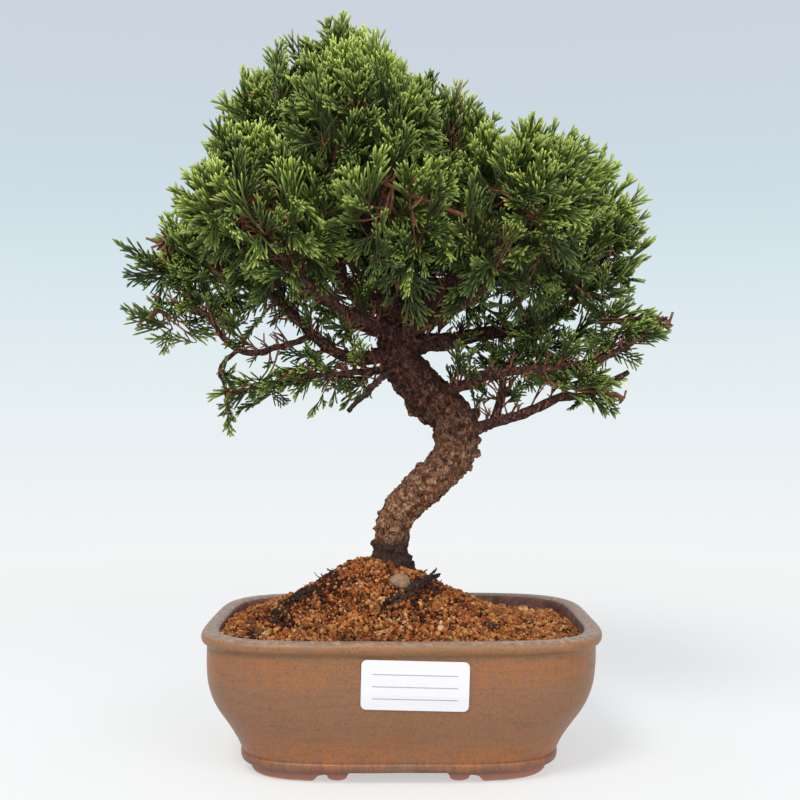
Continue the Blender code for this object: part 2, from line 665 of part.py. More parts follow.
def make_foliage(finish, root, trunk_path):
    """Rounded masses, cut flat where they would meet a neighbour or the trunk."""
    masses = [(name, Vector(middle) + Vector((0, 0, POT_HEIGHT)), reach)
              for name, middle, reach in FOLIAGE]
    for name, middle, reach in masses:
        shape = bmesh.new()
        detail = 2 if max(reach) < SMALL_REACH else 3
        bmesh.ops.create_icosphere(shape, subdivisions=detail, radius=1.0)
        bmesh.ops.scale(shape, vec=reach, verts=shape.verts)
        bmesh.ops.translate(shape, vec=middle, verts=shape.verts)
        for other_name, other, other_reach in masses:
            between = other - middle
            if other_name == name or between.length > 110:
                continue
            way = between.normalized()
            mine = reach_towards(reach, way)
            theirs = reach_towards(other_reach, way)
            if mine + theirs + FOLIAGE_GAP < between.length:
                continue
            share = between.length * mine / (mine + theirs) - FOLIAGE_GAP / 2
            cut_away(shape, middle + way * share, -way)
        for x, y, z, radius in trunk_path:
            between = Vector((x, y, z)) - middle
            share = between.length - radius - LIMB_END_GAP
            if share < max(reach):
                cut_away(shape, middle + between.normalized() * share, -between.normalized())
        bmesh.ops.remove_doubles(shape, verts=shape.verts, dist=0.5)
        bmesh.ops.dissolve_degenerate(shape, dist=0.05, edges=shape.edges)
        hull = bmesh.new()
        corners = [hull.verts.new(vert.co) for vert in shape.verts]
        shape.free()
        wrapped = bmesh.ops.convex_hull(hull, input=corners)
        loose = [item for item in wrapped["geom_interior"] + wrapped["geom_unused"]
                 if isinstance(item, bmesh.types.BMVert)]
        bmesh.ops.delete(hull, geom=loose, context="VERTS")
        bmesh.ops.recalc_face_normals(hull, faces=hull.faces)
        part_from_bmesh("foliage_" + name, hull, finish, root, 60.0)


# ---------------------------------------------------------------- put the origin under the middle
def centre_on_floor(root):
    """Move the root so that the whole object's box is centred on the origin and stands on z = 0."""
    bpy.context.view_layer.update()
    seen = bpy.context.evaluated_depsgraph_get()
    corners = []
    for made in parts.objects:
        if made.type == "MESH":
            whole = made.evaluated_get(seen)
            corners += [whole.matrix_world @ vert.co for vert in whole.data.vertices]
    for axis in (0, 1):
        lowest = min(corner[axis] for corner in corners)
        highest = max(corner[axis] for corner in corners)
        root.location[axis] -= (lowest + highest) / 2
    root.location[2] -= min(corner[2] for corner in corners)


def main():
    finishes = {
        "glaze": material("pot_glaze", (0.21, 0.105, 0.045), 0.42),
        "soil": material("soil", (0.36, 0.15, 0.05), 0.95),
        "stone": material("pebble", (0.30, 0.25, 0.20), 0.85),
        "paper": material("label", (0.86, 0.85, 0.88), 0.6),
        "screen": material("drain_screen", (0.03, 0.03, 0.03), 0.6),
        "wire": material("clip_wire", (0.45, 0.40, 0.36), 0.4, 1.0),
        "trunk_bark": material("trunk_bark", (0.20, 0.12, 0.07), 0.9),
        "limb_bark": material("limb_bark", (0.17, 0.09, 0.055), 0.85),
        "dead_wood": material("dead_wood", (0.09, 0.06, 0.045), 0.95),
        "leaves": material("foliage", (0.07, 0.17, 0.03), 0.6),
    }
    root = bpy.data.objects.new("bonsai", None)
    parts.objects.link(root)
    make_pot(finishes["glaze"], root)
    for side, x in drain_places():
        make_screen("drain_screen_" + side, x, finishes["screen"], root)
        make_clip("screen_clip_" + side, x, finishes["wire"], root)
    trunk, trunk_path, tools = make_trunk(finishes["trunk_bark"], root)
    sunk = [tools["socket"], helper_from_bmesh("pebble_room", pebble_shape(GAP), root)]
    part_from_bmesh("pebble", pebble_shape(0.0), finishes["stone"], root)
    for name, points in DEAD_ROOTS:
        path = root_path(points)
        tube(name, path, 1, finishes["dead_wood"], root)
        sunk.append(tube(name + "_room", widened(path, GAP), 1, None, root))
    make_soil(finishes["soil"], root, sunk)
    make_label(finishes["paper"], root)
    make_limbs(finishes, root, tools["room"])
    make_foliage(finishes["leaves"], root, trunk_path)
    centre_on_floor(root)


clear_scene()
parts = collection("bonsai_in_pot")
cutters = collection("cutters")
main()
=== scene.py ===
import json
import math
import random

import bmesh
import bpy
from mathutils import Euler, Matrix, Vector, noise
from mathutils.bvhtree import BVHTree

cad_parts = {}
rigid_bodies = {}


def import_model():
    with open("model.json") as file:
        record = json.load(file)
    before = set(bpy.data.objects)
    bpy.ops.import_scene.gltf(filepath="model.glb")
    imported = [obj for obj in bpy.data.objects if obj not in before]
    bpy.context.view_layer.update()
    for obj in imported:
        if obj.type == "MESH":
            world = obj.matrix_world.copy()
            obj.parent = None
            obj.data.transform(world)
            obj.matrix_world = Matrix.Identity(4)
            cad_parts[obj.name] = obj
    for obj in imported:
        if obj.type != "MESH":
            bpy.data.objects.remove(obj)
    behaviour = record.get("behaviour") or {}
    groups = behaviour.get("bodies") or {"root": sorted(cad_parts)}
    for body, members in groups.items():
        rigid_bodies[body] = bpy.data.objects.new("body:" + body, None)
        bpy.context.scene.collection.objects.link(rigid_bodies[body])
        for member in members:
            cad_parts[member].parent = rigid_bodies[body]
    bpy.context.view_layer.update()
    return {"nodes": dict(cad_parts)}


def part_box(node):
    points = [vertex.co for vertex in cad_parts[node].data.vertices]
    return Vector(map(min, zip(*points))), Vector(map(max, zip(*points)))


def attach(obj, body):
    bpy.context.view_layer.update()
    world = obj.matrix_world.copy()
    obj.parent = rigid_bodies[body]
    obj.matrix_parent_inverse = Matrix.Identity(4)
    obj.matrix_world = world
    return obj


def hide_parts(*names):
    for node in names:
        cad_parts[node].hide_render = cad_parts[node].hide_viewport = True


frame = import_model()

MM = 0.001
chance = random.Random(11)

# ---------------------------------------------------------------- places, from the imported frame
pot_low, pot_high = (Vector(corner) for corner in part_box("pot"))
POT_MIDDLE = (pot_low + pot_high) / 2
RIM = pot_high.z
RIM_LENGTH = (pot_high.x - pot_low.x) / MM
RIM_DEPTH = (pot_high.y - pot_low.y) / MM
POT_HEIGHT = RIM / MM
# the place that the tree is seen from, as spot() takes it, and how far it looks up
EYE_SIDE = -0.9
EYE_DISTANCE = 511.0
EYE_UP = 96.1
EYE_TILT = 0.0141
LENS = 47.64


def spot(x, y, up):
    """Millimetres from the pot's middle, and above its rim, to a place in the frame."""
    return Vector((POT_MIDDLE.x + x * MM, POT_MIDDLE.y + y * MM, RIM + up * MM))


# ---------------------------------------------------------------- the pot's sizes
BASE_LENGTH = 144.6
BASE_DEPTH = 106.0
CORNER_POWER = 4.4
LIP_HEIGHT = 6.7
LIP_OVERHANG = 2.6
WALL = 5.5
FLOOR = 6.0
BASE_BAND = 4.3
FOOT_HEIGHT = 5.3
FOOT_SETBACK = 4.0
FOOT_WIDTH = 11.0
DRAIN_RADIUS = 7.5
DRAIN_SPACING = 66.0
POT_LEAN = 1.7
UNEVENNESS = 0.35
OUTLINE_POINTS = 176
SIDE_STEPS = 26
INSIDE_STEPS = 8
FRONT_ARCH = 42.0
SIDE_ARCH = 30.0
SWELL = ((0.0, 0.0), (0.11, 0.14), (0.25, 0.38), (0.44, 0.73), (0.63, 0.93), (0.82, 0.99), (1.0, 1.0))

# ---------------------------------------------------------------- the tree's routes
# x, y, height above the rim and radius
TRUNK = (
    (-6.0, 2.0, -4.0, 12.0), (-6.0, 2.0, 12.0, 11.6), (-5.6, 2.0, 22.0, 10.0), (-5.3, 2.0, 30.0, 8.5),
    (-4.6, 1.0, 40.0, 8.4), (-2.2, -1.0, 48.0, 8.5), (3.4, -3.0, 55.5, 8.8), (11.2, -4.0, 62.5, 9.2),
    (19.0, -4.5, 69.5, 9.6), (24.6, -4.5, 77.5, 10.0), (26.2, -4.0, 86.5, 10.1), (23.8, -3.0, 95.5, 10.2),
    (16.2, -2.0, 102.5, 10.3), (8.2, -1.0, 110.5, 10.4), (1.8, 0.0, 118.5, 10.1), (-2.0, 1.0, 127.0, 9.3),
    (-3.0, 2.0, 138.0, 8.2), (-1.6, 3.0, 149.0, 8.2), (-5.0, 4.0, 160.0, 6.6), (-10.0, 4.0, 173.0, 5.2),
    (-14.0, 3.0, 192.0, 4.2), (-17.0, 2.0, 212.0, 3.4), (-20.0, 1.0, 232.0, 2.6), (-25.0, 0.0, 258.0, 1.4),
)
LIMBS = {
    "limb_low_right": ((24, -3, 85, 4.6), (32, -5, 88, 3.2), (40, -7, 91, 2.6), (52, -10, 95, 2.4),
                       (61, -13, 98, 2.3), (73, -17, 104, 2.0), (84, -20, 105, 1.7), (91, -22, 108, 1.5),
                       (104, -26, 116, 1.2)),
    "limb_low_right_riser": ((43, -8, 91, 2.3), (46, -8, 101, 2.0), (48, -6, 109, 1.8), (50, -2, 117, 1.5),
                             (56, 4, 127, 1.2), (66, 8, 133, 0.9)),
    "limb_right_whip": ((10, -3, 106, 3.6), (22, -9, 108, 2.8), (32, -15, 111, 2.3), (43, -20, 115, 2.1),
                        (59, -25, 117, 1.9), (72, -28, 118, 1.7), (88, -31, 121, 1.5),
                        (101, -35, 127, 1.3), (109, -38, 133, 1.1), (118, -40, 139, 0.8)),
    "limb_right_thick": ((-2, 2, 128, 6.0), (10, 4, 131, 4.8), (22, 7, 132, 4.2), (35, 10, 135, 3.7),
                         (46, 12, 137, 3.3), (57, 12, 137, 2.8), (70, 10, 141, 2.4), (83, 8, 150, 2.0),
                         (92, 4, 162, 1.7), (97, 0, 180, 1.3)),
    "limb_right_upper": ((-3, 1, 140, 6.0), (7, -4, 145, 4.8), (14, -8, 149, 4.2), (21, -12, 157, 3.8),
                         (28, -14, 164, 3.4), (37, -14, 172, 3.0), (48, -14, 182, 2.5), (60, -12, 195, 2.0),
                         (70, -8, 208, 1.5)),
    "limb_left_upper": ((0, 2, 148, 5.6), (-10, -6, 150, 4.3), (-19, -11, 151, 3.7), (-27, -14, 158, 3.2),
                        (-30, -14, 170, 2.8), (-35, -14, 184, 2.5), (-44, -12, 198, 2.1),
                        (-54, -10, 214, 1.7), (-62, -6, 232, 1.2)),
    "limb_left_low": ((0, 1, 127, 5.0), (-12, -4, 124, 3.4), (-23, -8, 123, 2.9), (-34, -10, 127, 2.7),
                      (-42, -12, 134, 2.5), (-51, -12, 143, 2.4), (-61, -10, 152, 2.2), (-70, -8, 159, 2.0),
                      (-87, -6, 164, 1.7), (-96, -4, 169, 1.5), (-104, -2, 172, 1.3), (-116, -2, 177, 0.9)),
    "limb_left_droop": ((-42, -12, 134, 1.8), (-50, -17, 130, 1.5), (-60, -19, 127, 1.5),
                        (-70, -20, 125, 1.4), (-79, -20, 128, 1.4), (-86, -20, 136, 1.3),
                        (-92, -18, 144, 1.2), (-102, -14, 148, 1.1), (-114, -12, 149, 0.8)),
    "limb_left_hanging": ((-76, -20, 126.6, 1.3), (-82, -21, 121, 1.0), (-84, -22, 116, 0.9),
                          (-82, -22, 110, 0.8), (-81, -22, 103, 0.6)),
    "limb_left_under": ((0, -1, 118, 2.6), (-14, -9, 117, 1.7), (-24, -16, 116, 1.4), (-33, -18, 115, 1.2),
                        (-43, -20, 113, 1.0), (-54, -22, 111, 0.8)),
    "dead_twig": ((0, -4, 119, 2.4), (-9, -14, 114, 1.5), (-16, -18, 107, 1.35), (-21, -20, 102, 1.25),
                  (-25, -22, 98, 1.15)),
    "limb_back_left": ((0, 3, 133, 4.6), (-12, 16, 138, 3.2), (-26, 28, 146, 2.7), (-42, 40, 158, 2.3),
                       (-56, 50, 174, 1.8), (-66, 55, 192, 1.3)),
    "limb_back_right": ((-3, 3, 140, 4.4), (10, 16, 144, 3.1), (24, 28, 152, 2.7), (38, 40, 162, 2.2),
                        (48, 50, 180, 1.8), (52, 53, 196, 1.3)),
    "limb_front_left": ((-1, 1, 136, 4.0), (-14, -14, 139, 2.7), (-28, -28, 145, 2.3), (-44, -42, 156, 2.0),
                        (-56, -52, 172, 1.6), (-63, -54, 188, 1.2)),
    "limb_front_right": ((-3, 1, 135, 3.8), (10, -14, 138, 2.6), (24, -28, 144, 2.2), (38, -42, 155, 1.9),
                         (47, -50, 172, 1.5), (52, -53, 188, 1.2)),
}
DEAD_ROOTS = {
    "dead_root_right": ((-9, -35, -2.0), (-2, -31, 0.6), (5, -23, 1.6), (11, -15, 2.6), (15, -10, 4.6),
                        (18, -7, 7.2)),
    "dead_root_left": ((-60, -30, -1.0), (-55, -25, 0.7), (-50, -17, 1.2), (-44, -11, 1.0), (-39, -8, -0.6)),
}
# strands, how far they stray, the thickest loose one, and how many run the whole length
ROOT_STRANDS = {"dead_root_right": (30, 1.5, 0.62, 3), "dead_root_left": (46, 3.2, 0.45, 0)}


# ---------------------------------------------------------------- material helpers
def make_material(name, roughness, specular=0.5, coat=0.0):
    """A Principled material; returns it with its tree and its shader."""
    made = bpy.data.materials.new(name)
    made.use_nodes = True
    tree = made.node_tree
    shader = tree.nodes["Principled BSDF"]
    shader.inputs["Roughness"].default_value = roughness
    shader.inputs["Specular IOR Level"].default_value = specular
    shader.inputs["Coat Weight"].default_value = coat
    return made, tree, shader


def put(tree, kind, settings=None, **inputs):
    """Add a node; settings are its properties, inputs are values or output sockets."""
    added = tree.nodes.new(kind)
    for key, value in (settings or {}).items():
        setattr(added, key, value)
    for key, value in inputs.items():
        socket = added.inputs[int(key[1:])] if key[0] == "i" and key[1:].isdigit() else added.inputs[key]
        if isinstance(value, bpy.types.NodeSocket):
            tree.links.new(value, socket)
        else:
            socket.default_value = value
    return added


def place(tree, scale=(1, 1, 1)):
    """Object coordinates in millimetres, stretched by a scale."""
    where = put(tree, "ShaderNodeTexCoord")
    stretch = put(tree, "ShaderNodeMapping", Vector=where.outputs["Object"])
    stretch.inputs["Scale"].default_value = tuple(axis / MM for axis in scale)
    return stretch.outputs["Vector"]


def ramp(tree, factor, stops):
    """Colours that follow one another as a factor goes from 0 to 1."""
    added = put(tree, "ShaderNodeValToRGB", Fac=factor)
    band = added.color_ramp
    while len(band.elements) < len(stops):
        band.elements.new(0.5)
    for element, (at, colour) in zip(band.elements, stops):
        element.position = at
        element.color = (*colour, 1.0)
    return added.outputs["Color"]


def grey(level):
    return (level, level, level)


def clouds(tree, vector, scale, detail=4.0, rough=0.6, distortion=0.0):
    added = put(tree, "ShaderNodeTexNoise", Vector=vector, Scale=scale, Detail=detail, Roughness=rough,
                Distortion=distortion)
    return added.outputs["Fac"]


def mix(tree, factor, first, second, blend="MIX"):
    added = put(tree, "ShaderNodeMix", {"data_type": "RGBA", "blend_type": blend})
    for index, value in ((0, factor), (6, first), (7, second)):
        if isinstance(value, bpy.types.NodeSocket):
            tree.links.new(value, added.inputs[index])
        elif index == 0:
            added.inputs[index].default_value = value
        else:
            added.inputs[index].default_value = (*value, 1.0)
    return added.outputs[2]


def span(tree, value, low, high):
    """0 to 1 as a value goes from low to high."""
    added = put(tree, "ShaderNodeMapRange", {"clamp": True}, Value=value)
    added.inputs["From Min"].default_value = low
    added.inputs["From Max"].default_value = high
    return added.outputs["Result"]


def axis_of(tree, vector, axis):
    return put(tree, "ShaderNodeSeparateXYZ", Vector=vector).outputs[axis]


def bump(tree, shader, height, depth_mm, strength=1.0):
    added = put(tree, "ShaderNodeBump", Height=height, Strength=strength, Distance=depth_mm * MM)
    tree.links.new(added.outputs["Normal"], shader.inputs["Normal"])


# ---------------------------------------------------------------- materials
def glaze_material():
    """Brown glaze that breaks orange below the lip and at the base, with a pale grey painted highlight on the
    lip's top.
    """
    made, tree, shader = make_material("pot_glaze", 0.42, 0.45)
    where = place(tree)
    height = axis_of(tree, where, "Z")
    wander = clouds(tree, place(tree, (1, 1, 0.25)), 0.11, 3.0)
    shifted = put(tree, "ShaderNodeMath", {"operation": "MULTIPLY_ADD"}, i0=wander, i1=7.0, i2=height)
    level = put(tree, "ShaderNodeMath", {"operation": "SUBTRACT"}, i0=shifted.outputs[0], i1=3.5)
    share = span(tree, level.outputs[0], 5.0, 65.0)
    zones = ramp(tree, share, (
        (0.0, (0.13, 0.060, 0.042)), (0.05, (0.17, 0.075, 0.048)), (0.10, (0.27, 0.105, 0.045)),
        (0.20, (0.25, 0.107, 0.049)), (0.34, (0.228, 0.110, 0.058)), (0.62, (0.225, 0.112, 0.060)),
        (0.76, (0.25, 0.110, 0.048)), (0.83, (0.27, 0.112, 0.043)), (0.862, (0.215, 0.118, 0.060)),
        (0.900, (0.215, 0.120, 0.060)), (0.93, (0.26, 0.128, 0.055)), (0.965, (0.26, 0.135, 0.066)),
        (1.0, (0.225, 0.138, 0.088))))
    streaks = clouds(tree, place(tree, (1, 1, 0.12)), 0.55, 5.0, 0.7)
    edges = ramp(tree, share, ((0.0, grey(0.2)), (0.10, grey(1.0)), (0.26, grey(0.35)), (0.60, grey(0.15)),
                               (0.74, grey(0.55)), (0.84, grey(0.6)), (0.90, grey(0.6)), (1.0, grey(0.3))))
    rusty = put(tree, "ShaderNodeMath", {"operation": "MULTIPLY"}, i0=span(tree, streaks, 0.44, 0.62),
                i1=edges)
    streaked = mix(tree, rusty.outputs[0], zones, (0.36, 0.125, 0.026))
    greyer = clouds(tree, where, 0.07, 4.0)
    clouded = mix(tree, span(tree, greyer, 0.48, 0.8), streaked, (0.21, 0.118, 0.070))
    speck = clouds(tree, where, 0.95, 2.0, 0.8)
    speckled = mix(tree, span(tree, speck, 0.58, 0.72), clouded, (0.36, 0.135, 0.033))
    dark_speck = clouds(tree, place(tree, (1.1, 1.1, 1.1)), 1.15, 2.0, 0.8)
    darkened = mix(tree, span(tree, dark_speck, 0.53, 0.72), speckled, (0.115, 0.060, 0.034))
    bands = clouds(tree, place(tree, (0.16, 0.16, 1.3)), 0.5, 4.0, 0.6)
    spotted = mix(tree, span(tree, bands, 0.50, 0.72), darkened,
                  mix(tree, 1.0, darkened, (0.80, 0.82, 0.84), "MULTIPLY"))
    # Painted highlight: faces near the rim that look up turn pale grey, as if lit from above.
    top = put(tree, "ShaderNodeNewGeometry")
    upward = axis_of(tree, top.outputs["Normal"], "Z")
    lip_highlight_mask = put(tree, "ShaderNodeMath", {"operation": "MULTIPLY"}, i0=span(tree, upward, 0.55, 0.95),
                 i1=span(tree, height, POT_HEIGHT - 2.4, POT_HEIGHT - 0.9))
    lip_highlight_noise = clouds(tree, where, 0.35, 5.0, 0.7)
    lip_highlight = ramp(tree, lip_highlight_noise, ((0.35, (0.20, 0.13, 0.095)), (0.52, (0.29, 0.20, 0.155)),
                                (0.64, (0.40, 0.31, 0.25)), (0.75, (0.52, 0.45, 0.38))))
    finished = mix(tree, lip_highlight_mask.outputs[0], spotted, lip_highlight)
    warmed = mix(tree, 1.0, finished, (1.0, 0.94, 0.83), "MULTIPLY")
    tree.links.new(warmed, shader.inputs["Base Color"])
    rough = span(tree, clouds(tree, where, 0.9, 4.0), 0.2, 0.8)
    scaled = put(tree, "ShaderNodeMath", {"operation": "MULTIPLY_ADD"}, i0=rough, i1=0.22, i2=0.33)
    tree.links.new(scaled.outputs[0], shader.inputs["Roughness"])
    bump(tree, shader, clouds(tree, where, 1.1, 6.0, 0.65), 0.25, 0.6)
    return made


def inner_clay_material():
    """Thin dark glaze on the inside of the wall, chalky where it has dried."""
    made, tree, shader = make_material("pot_inside", 0.7, 0.3)
    where = place(tree)
    stain = clouds(tree, where, 0.16, 6.0, 0.7)
    colour = ramp(tree, stain, ((0.30, (0.045, 0.025, 0.025)), (0.48, (0.12, 0.055, 0.045)),
                                (0.62, (0.20, 0.095, 0.075)), (0.78, (0.30, 0.20, 0.15))))
    tree.links.new(colour, shader.inputs["Base Color"])
    bump(tree, shader, clouds(tree, where, 1.4, 5.0), 0.3, 0.5)
    return made


def foot_material():
    """Bare red clay, darker towards the glaze above as painted shade under the pot's body, and pale along the
    rubbed lower edge.
    """
    made, tree, shader = make_material("pot_feet_clay", 0.8, 0.3)
    where = place(tree)
    height = axis_of(tree, where, "Z")
    wander = clouds(tree, where, 0.25, 3.0)
    level = put(tree, "ShaderNodeMath", {"operation": "MULTIPLY_ADD"}, i0=wander, i1=1.1, i2=height)
    share = span(tree, level.outputs[0], 0.4, 6.4)
    # Painted shade: the clay darkens towards the top of the feet, under the body's base band; the pale lower
    # edge is the clay's own.
    colour = ramp(tree, share, ((0.0, (0.60, 0.42, 0.30)), (0.09, (0.55, 0.36, 0.25)),
                                (0.20, (0.36, 0.155, 0.11)), (0.62, (0.30, 0.12, 0.09)),
                                (0.80, (0.15, 0.075, 0.07)), (1.0, (0.12, 0.06, 0.055))))
    grain = clouds(tree, where, 2.2, 3.0)
    mottled = mix(tree, span(tree, grain, 0.35, 0.75), colour, (0.40, 0.20, 0.14))
    soft = mix(tree, 0.72, mottled, colour)
    tree.links.new(soft, shader.inputs["Base Color"])
    bump(tree, shader, grain, 0.2, 0.5)
    return made


def bark_material(name, plates, warm):
    """Flaky bark: tan plates, dark cracks between them, redder higher up and darker there as painted shade
    under the crown.
    """
    made, tree, shader = make_material(name, 0.86, 0.25)
    long_grain = place(tree, (1, 1, 0.75))
    where = place(tree)
    height = axis_of(tree, where, "Z")
    big = clouds(tree, long_grain, plates, 5.0, 0.66, 0.9)
    fine = clouds(tree, long_grain, plates * 3.2, 4.0, 0.7, 1.0)
    low = ramp(tree, big, ((0.37, (0.06, 0.026, 0.014)), (0.45, (0.22, 0.098, 0.050)),
                           (0.53, (0.43, 0.212, 0.112)), (0.62, (0.70, 0.43, 0.265))))
    # The high ramp is red brown bark darkened as painted shade under the crown; bark that isn't warm, the
    # limbs', takes only this ramp.
    high = ramp(tree, big, ((0.37, (0.018, 0.007, 0.006)), (0.46, (0.070, 0.028, 0.020)),
                            (0.55, (0.165, 0.072, 0.048)), (0.66, (0.35, 0.180, 0.125))))
    blended = mix(tree, span(tree, height, POT_HEIGHT + 60, POT_HEIGHT + 104), low, high) if warm else high
    cracks = mix(tree, span(tree, fine, 0.41, 0.52), (0.22, 0.17, 0.15), (1.0, 1.0, 1.0))
    cracked = mix(tree, 0.85, blended, mix(tree, 1.0, blended, cracks, "MULTIPLY"))
    if warm:
        patches = ramp(tree, clouds(tree, where, 0.20, 4.0, 0.65), (
            (0.38, (0.60, 0.52, 0.50)), (0.48, (0.92, 0.90, 0.88)), (0.60, (1.0, 0.98, 0.94))))
        cracked = mix(tree, 1.0, cracked, patches, "MULTIPLY")
        rust = clouds(tree, where, 0.16, 3.0)
        cracked = mix(tree, span(tree, rust, 0.56, 0.70), cracked,
                      mix(tree, 1.0, cracked, (1.25, 0.86, 0.66), "MULTIPLY"))
        # The trunk turns nearly black towards its foot, below about 34 mm above the rim.
        low_band = span(tree, height, POT_HEIGHT + 38.5, POT_HEIGHT + 34.0)
        low_band_share = put(tree, "ShaderNodeMath", {"operation": "MULTIPLY"}, i0=low_band, i1=0.86)
        cracked = mix(tree, low_band_share.outputs[0], cracked, (0.022, 0.014, 0.010))
    tree.links.new(cracked, shader.inputs["Base Color"])
    both = put(tree, "ShaderNodeMath", {"operation": "MULTIPLY_ADD"}, i0=fine, i1=0.8, i2=big)
    bump(tree, shader, both.outputs[0], 1.4, 1.0)
    return made


def twig_material():
    """Thin red brown bark."""
    made, tree, shader = make_material("limb_bark_twigs", 0.8, 0.3)
    where = place(tree)
    tint = clouds(tree, where, 0.25, 3.0)
    colour = ramp(tree, tint, ((0.32, (0.10, 0.036, 0.020)), (0.5, (0.19, 0.070, 0.036)),
                               (0.68, (0.29, 0.135, 0.070))))
    tree.links.new(colour, shader.inputs["Base Color"])
    return made


def dead_wood_material():
    """Rotted wood, almost black with brown fibres."""
    made, tree, shader = make_material("dead_wood_fibre", 0.95, 0.15)
    tint = clouds(tree, place(tree), 0.9, 5.0)
    colour = ramp(tree, tint, ((0.3, (0.012, 0.008, 0.006)), (0.55, (0.045, 0.028, 0.02)),
                               (0.75, (0.12, 0.08, 0.055))))
    tree.links.new(colour, shader.inputs["Base Color"])
    bump(tree, shader, tint, 0.5, 0.8)
    return made


def sheet_coordinates(tree):
    """The map that scattered pieces carry: across it the piece's own tone, up it the age."""
    own = put(tree, "ShaderNodeUVMap", {"uv_map": "OFBake"})
    parts = put(tree, "ShaderNodeSeparateXYZ", Vector=own.outputs["UV"])
    return parts.outputs["X"], parts.outputs["Y"]


def foliage_material():
    """Scale leaves: dark at the base of a spray and yellow green at the tips; a few sprays are dead."""
    made, tree, shader = make_material("foliage_scales", 0.5, 0.35)
    tone, age = sheet_coordinates(tree)
    # shade and fresh are a shaded and a lit copy of the foliage colours: a low tone is painted shade, a high
    # tone painted light. Along the age both run from the spray's dark base, partly painted shade, to the
    # yellow green young tips.
    shade = ramp(tree, age, ((0.0, (0.045, 0.024, 0.011)), (0.30, (0.020, 0.030, 0.008)),
                             (0.72, (0.036, 0.060, 0.011)), (1.0, (0.13, 0.19, 0.028))))
    fresh = ramp(tree, age, ((0.0, (0.11, 0.070, 0.020)), (0.30, (0.075, 0.110, 0.016)),
                             (0.66, (0.155, 0.225, 0.034)), (0.82, (0.41, 0.51, 0.080)),
                             (1.0, (0.76, 0.85, 0.23))))
    living = mix(tree, span(tree, tone, 0.10, 0.92), shade, fresh)
    dead = ramp(tree, age, ((0.0, (0.09, 0.033, 0.014)), (1.0, (0.36, 0.14, 0.045))))
    colour = mix(tree, span(tree, tone, 0.055, 0.05), living, dead)
    tree.links.new(colour, shader.inputs["Base Color"])
    return made


def soil_material(name):
    """Fired clay crumbs, each with its own tone, shaded a little towards its underside."""
    made, tree, shader = make_material(name, 0.92, 0.2)
    tone, rise = sheet_coordinates(tree)
    colour = ramp(tree, tone, (
        (0.02, (0.022, 0.007, 0.003)), (0.10, (0.070, 0.018, 0.004)), (0.20, (0.14, 0.036, 0.010)),
        (0.30, (0.17, 0.085, 0.034)), (0.38, (0.27, 0.070, 0.017)), (0.52, (0.38, 0.120, 0.030)),
        (0.66, (0.47, 0.185, 0.052)), (0.80, (0.50, 0.235, 0.080)), (0.91, (0.60, 0.34, 0.14)),
        (1.0, (0.60, 0.48, 0.34))))
    under = mix(tree, span(tree, rise, 0.0, 0.75), (0.30, 0.22, 0.17), (1.0, 1.0, 1.0))
    shaded = mix(tree, 1.0, colour, under, "MULTIPLY")
    tree.links.new(shaded, shader.inputs["Base Color"])
    return made


def bed_material():
    """Dark packed earth below the loose crumbs."""
    made, tree, shader = make_material("soil_bed_earth", 0.95, 0.1)
    grain = clouds(tree, place(tree), 0.8, 4.0)
    colour = ramp(tree, grain, ((0.35, (0.020, 0.010, 0.006)), (0.65, (0.12, 0.045, 0.018))))
    tree.links.new(colour, shader.inputs["Base Color"])
    bump(tree, shader, grain, 1.0, 0.8)
    return made


def stone_material():
    """Brown grey stone with a rough face."""
    made, tree, shader = make_material("pebble_stone", 0.8, 0.3)
    where = place(tree)
    tint = clouds(tree, where, 0.45, 6.0, 0.7)
    colour = ramp(tree, tint, ((0.3, (0.12, 0.064, 0.034)), (0.52, (0.27, 0.155, 0.088)),
                               (0.75, (0.35, 0.240, 0.160))))
    tree.links.new(colour, shader.inputs["Base Color"])
    bump(tree, shader, tint, 0.5, 0.6)
    return made


RULED_LINES = (4.6, -0.6, -5.8)
LABEL_TURN = 1.4


def label_material():
    """White paper with faint ruled lines for a name to be written on."""
    made, tree, shader = make_material("label_paper", 0.38, 0.4)
    where = place(tree)
    low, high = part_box("label")
    middle = [(low[i] + high[i]) / 2 / MM for i in range(3)]
    tilt = put(tree, "ShaderNodeMapping", {"vector_type": "TEXTURE"}, Vector=where)
    tilt.inputs["Location"].default_value = middle
    tilt.inputs["Rotation"].default_value = (0, math.radians(LABEL_TURN), 0)
    along = axis_of(tree, tilt.outputs["Vector"], "X")
    up = axis_of(tree, tilt.outputs["Vector"], "Z")
    inside = put(tree, "ShaderNodeMath", {"operation": "ABSOLUTE"}, i0=along)
    line = 0.0
    for height in RULED_LINES:
        off = put(tree, "ShaderNodeMath", {"operation": "SUBTRACT"}, i0=up, i1=height)
        near = put(tree, "ShaderNodeMath", {"operation": "ABSOLUTE"}, i0=off.outputs[0])
        here = span(tree, near.outputs[0], 0.28, 0.16)
        line = put(tree, "ShaderNodeMath", {"operation": "MAXIMUM"}, i0=line, i1=here).outputs[0]
    ruled = put(tree, "ShaderNodeMath", {"operation": "MULTIPLY"}, i0=line,
                i1=span(tree, inside.outputs[0], 18.2, 17.9))
    fibre = clouds(tree, where, 1.5, 3.0)
    paper = ramp(tree, fibre, ((0.3, (0.70, 0.68, 0.69)), (0.7, (0.76, 0.74, 0.75))))
    colour = mix(tree, ruled.outputs[0], paper, (0.34, 0.34, 0.37))
    tree.links.new(colour, shader.inputs["Base Color"])
    return made


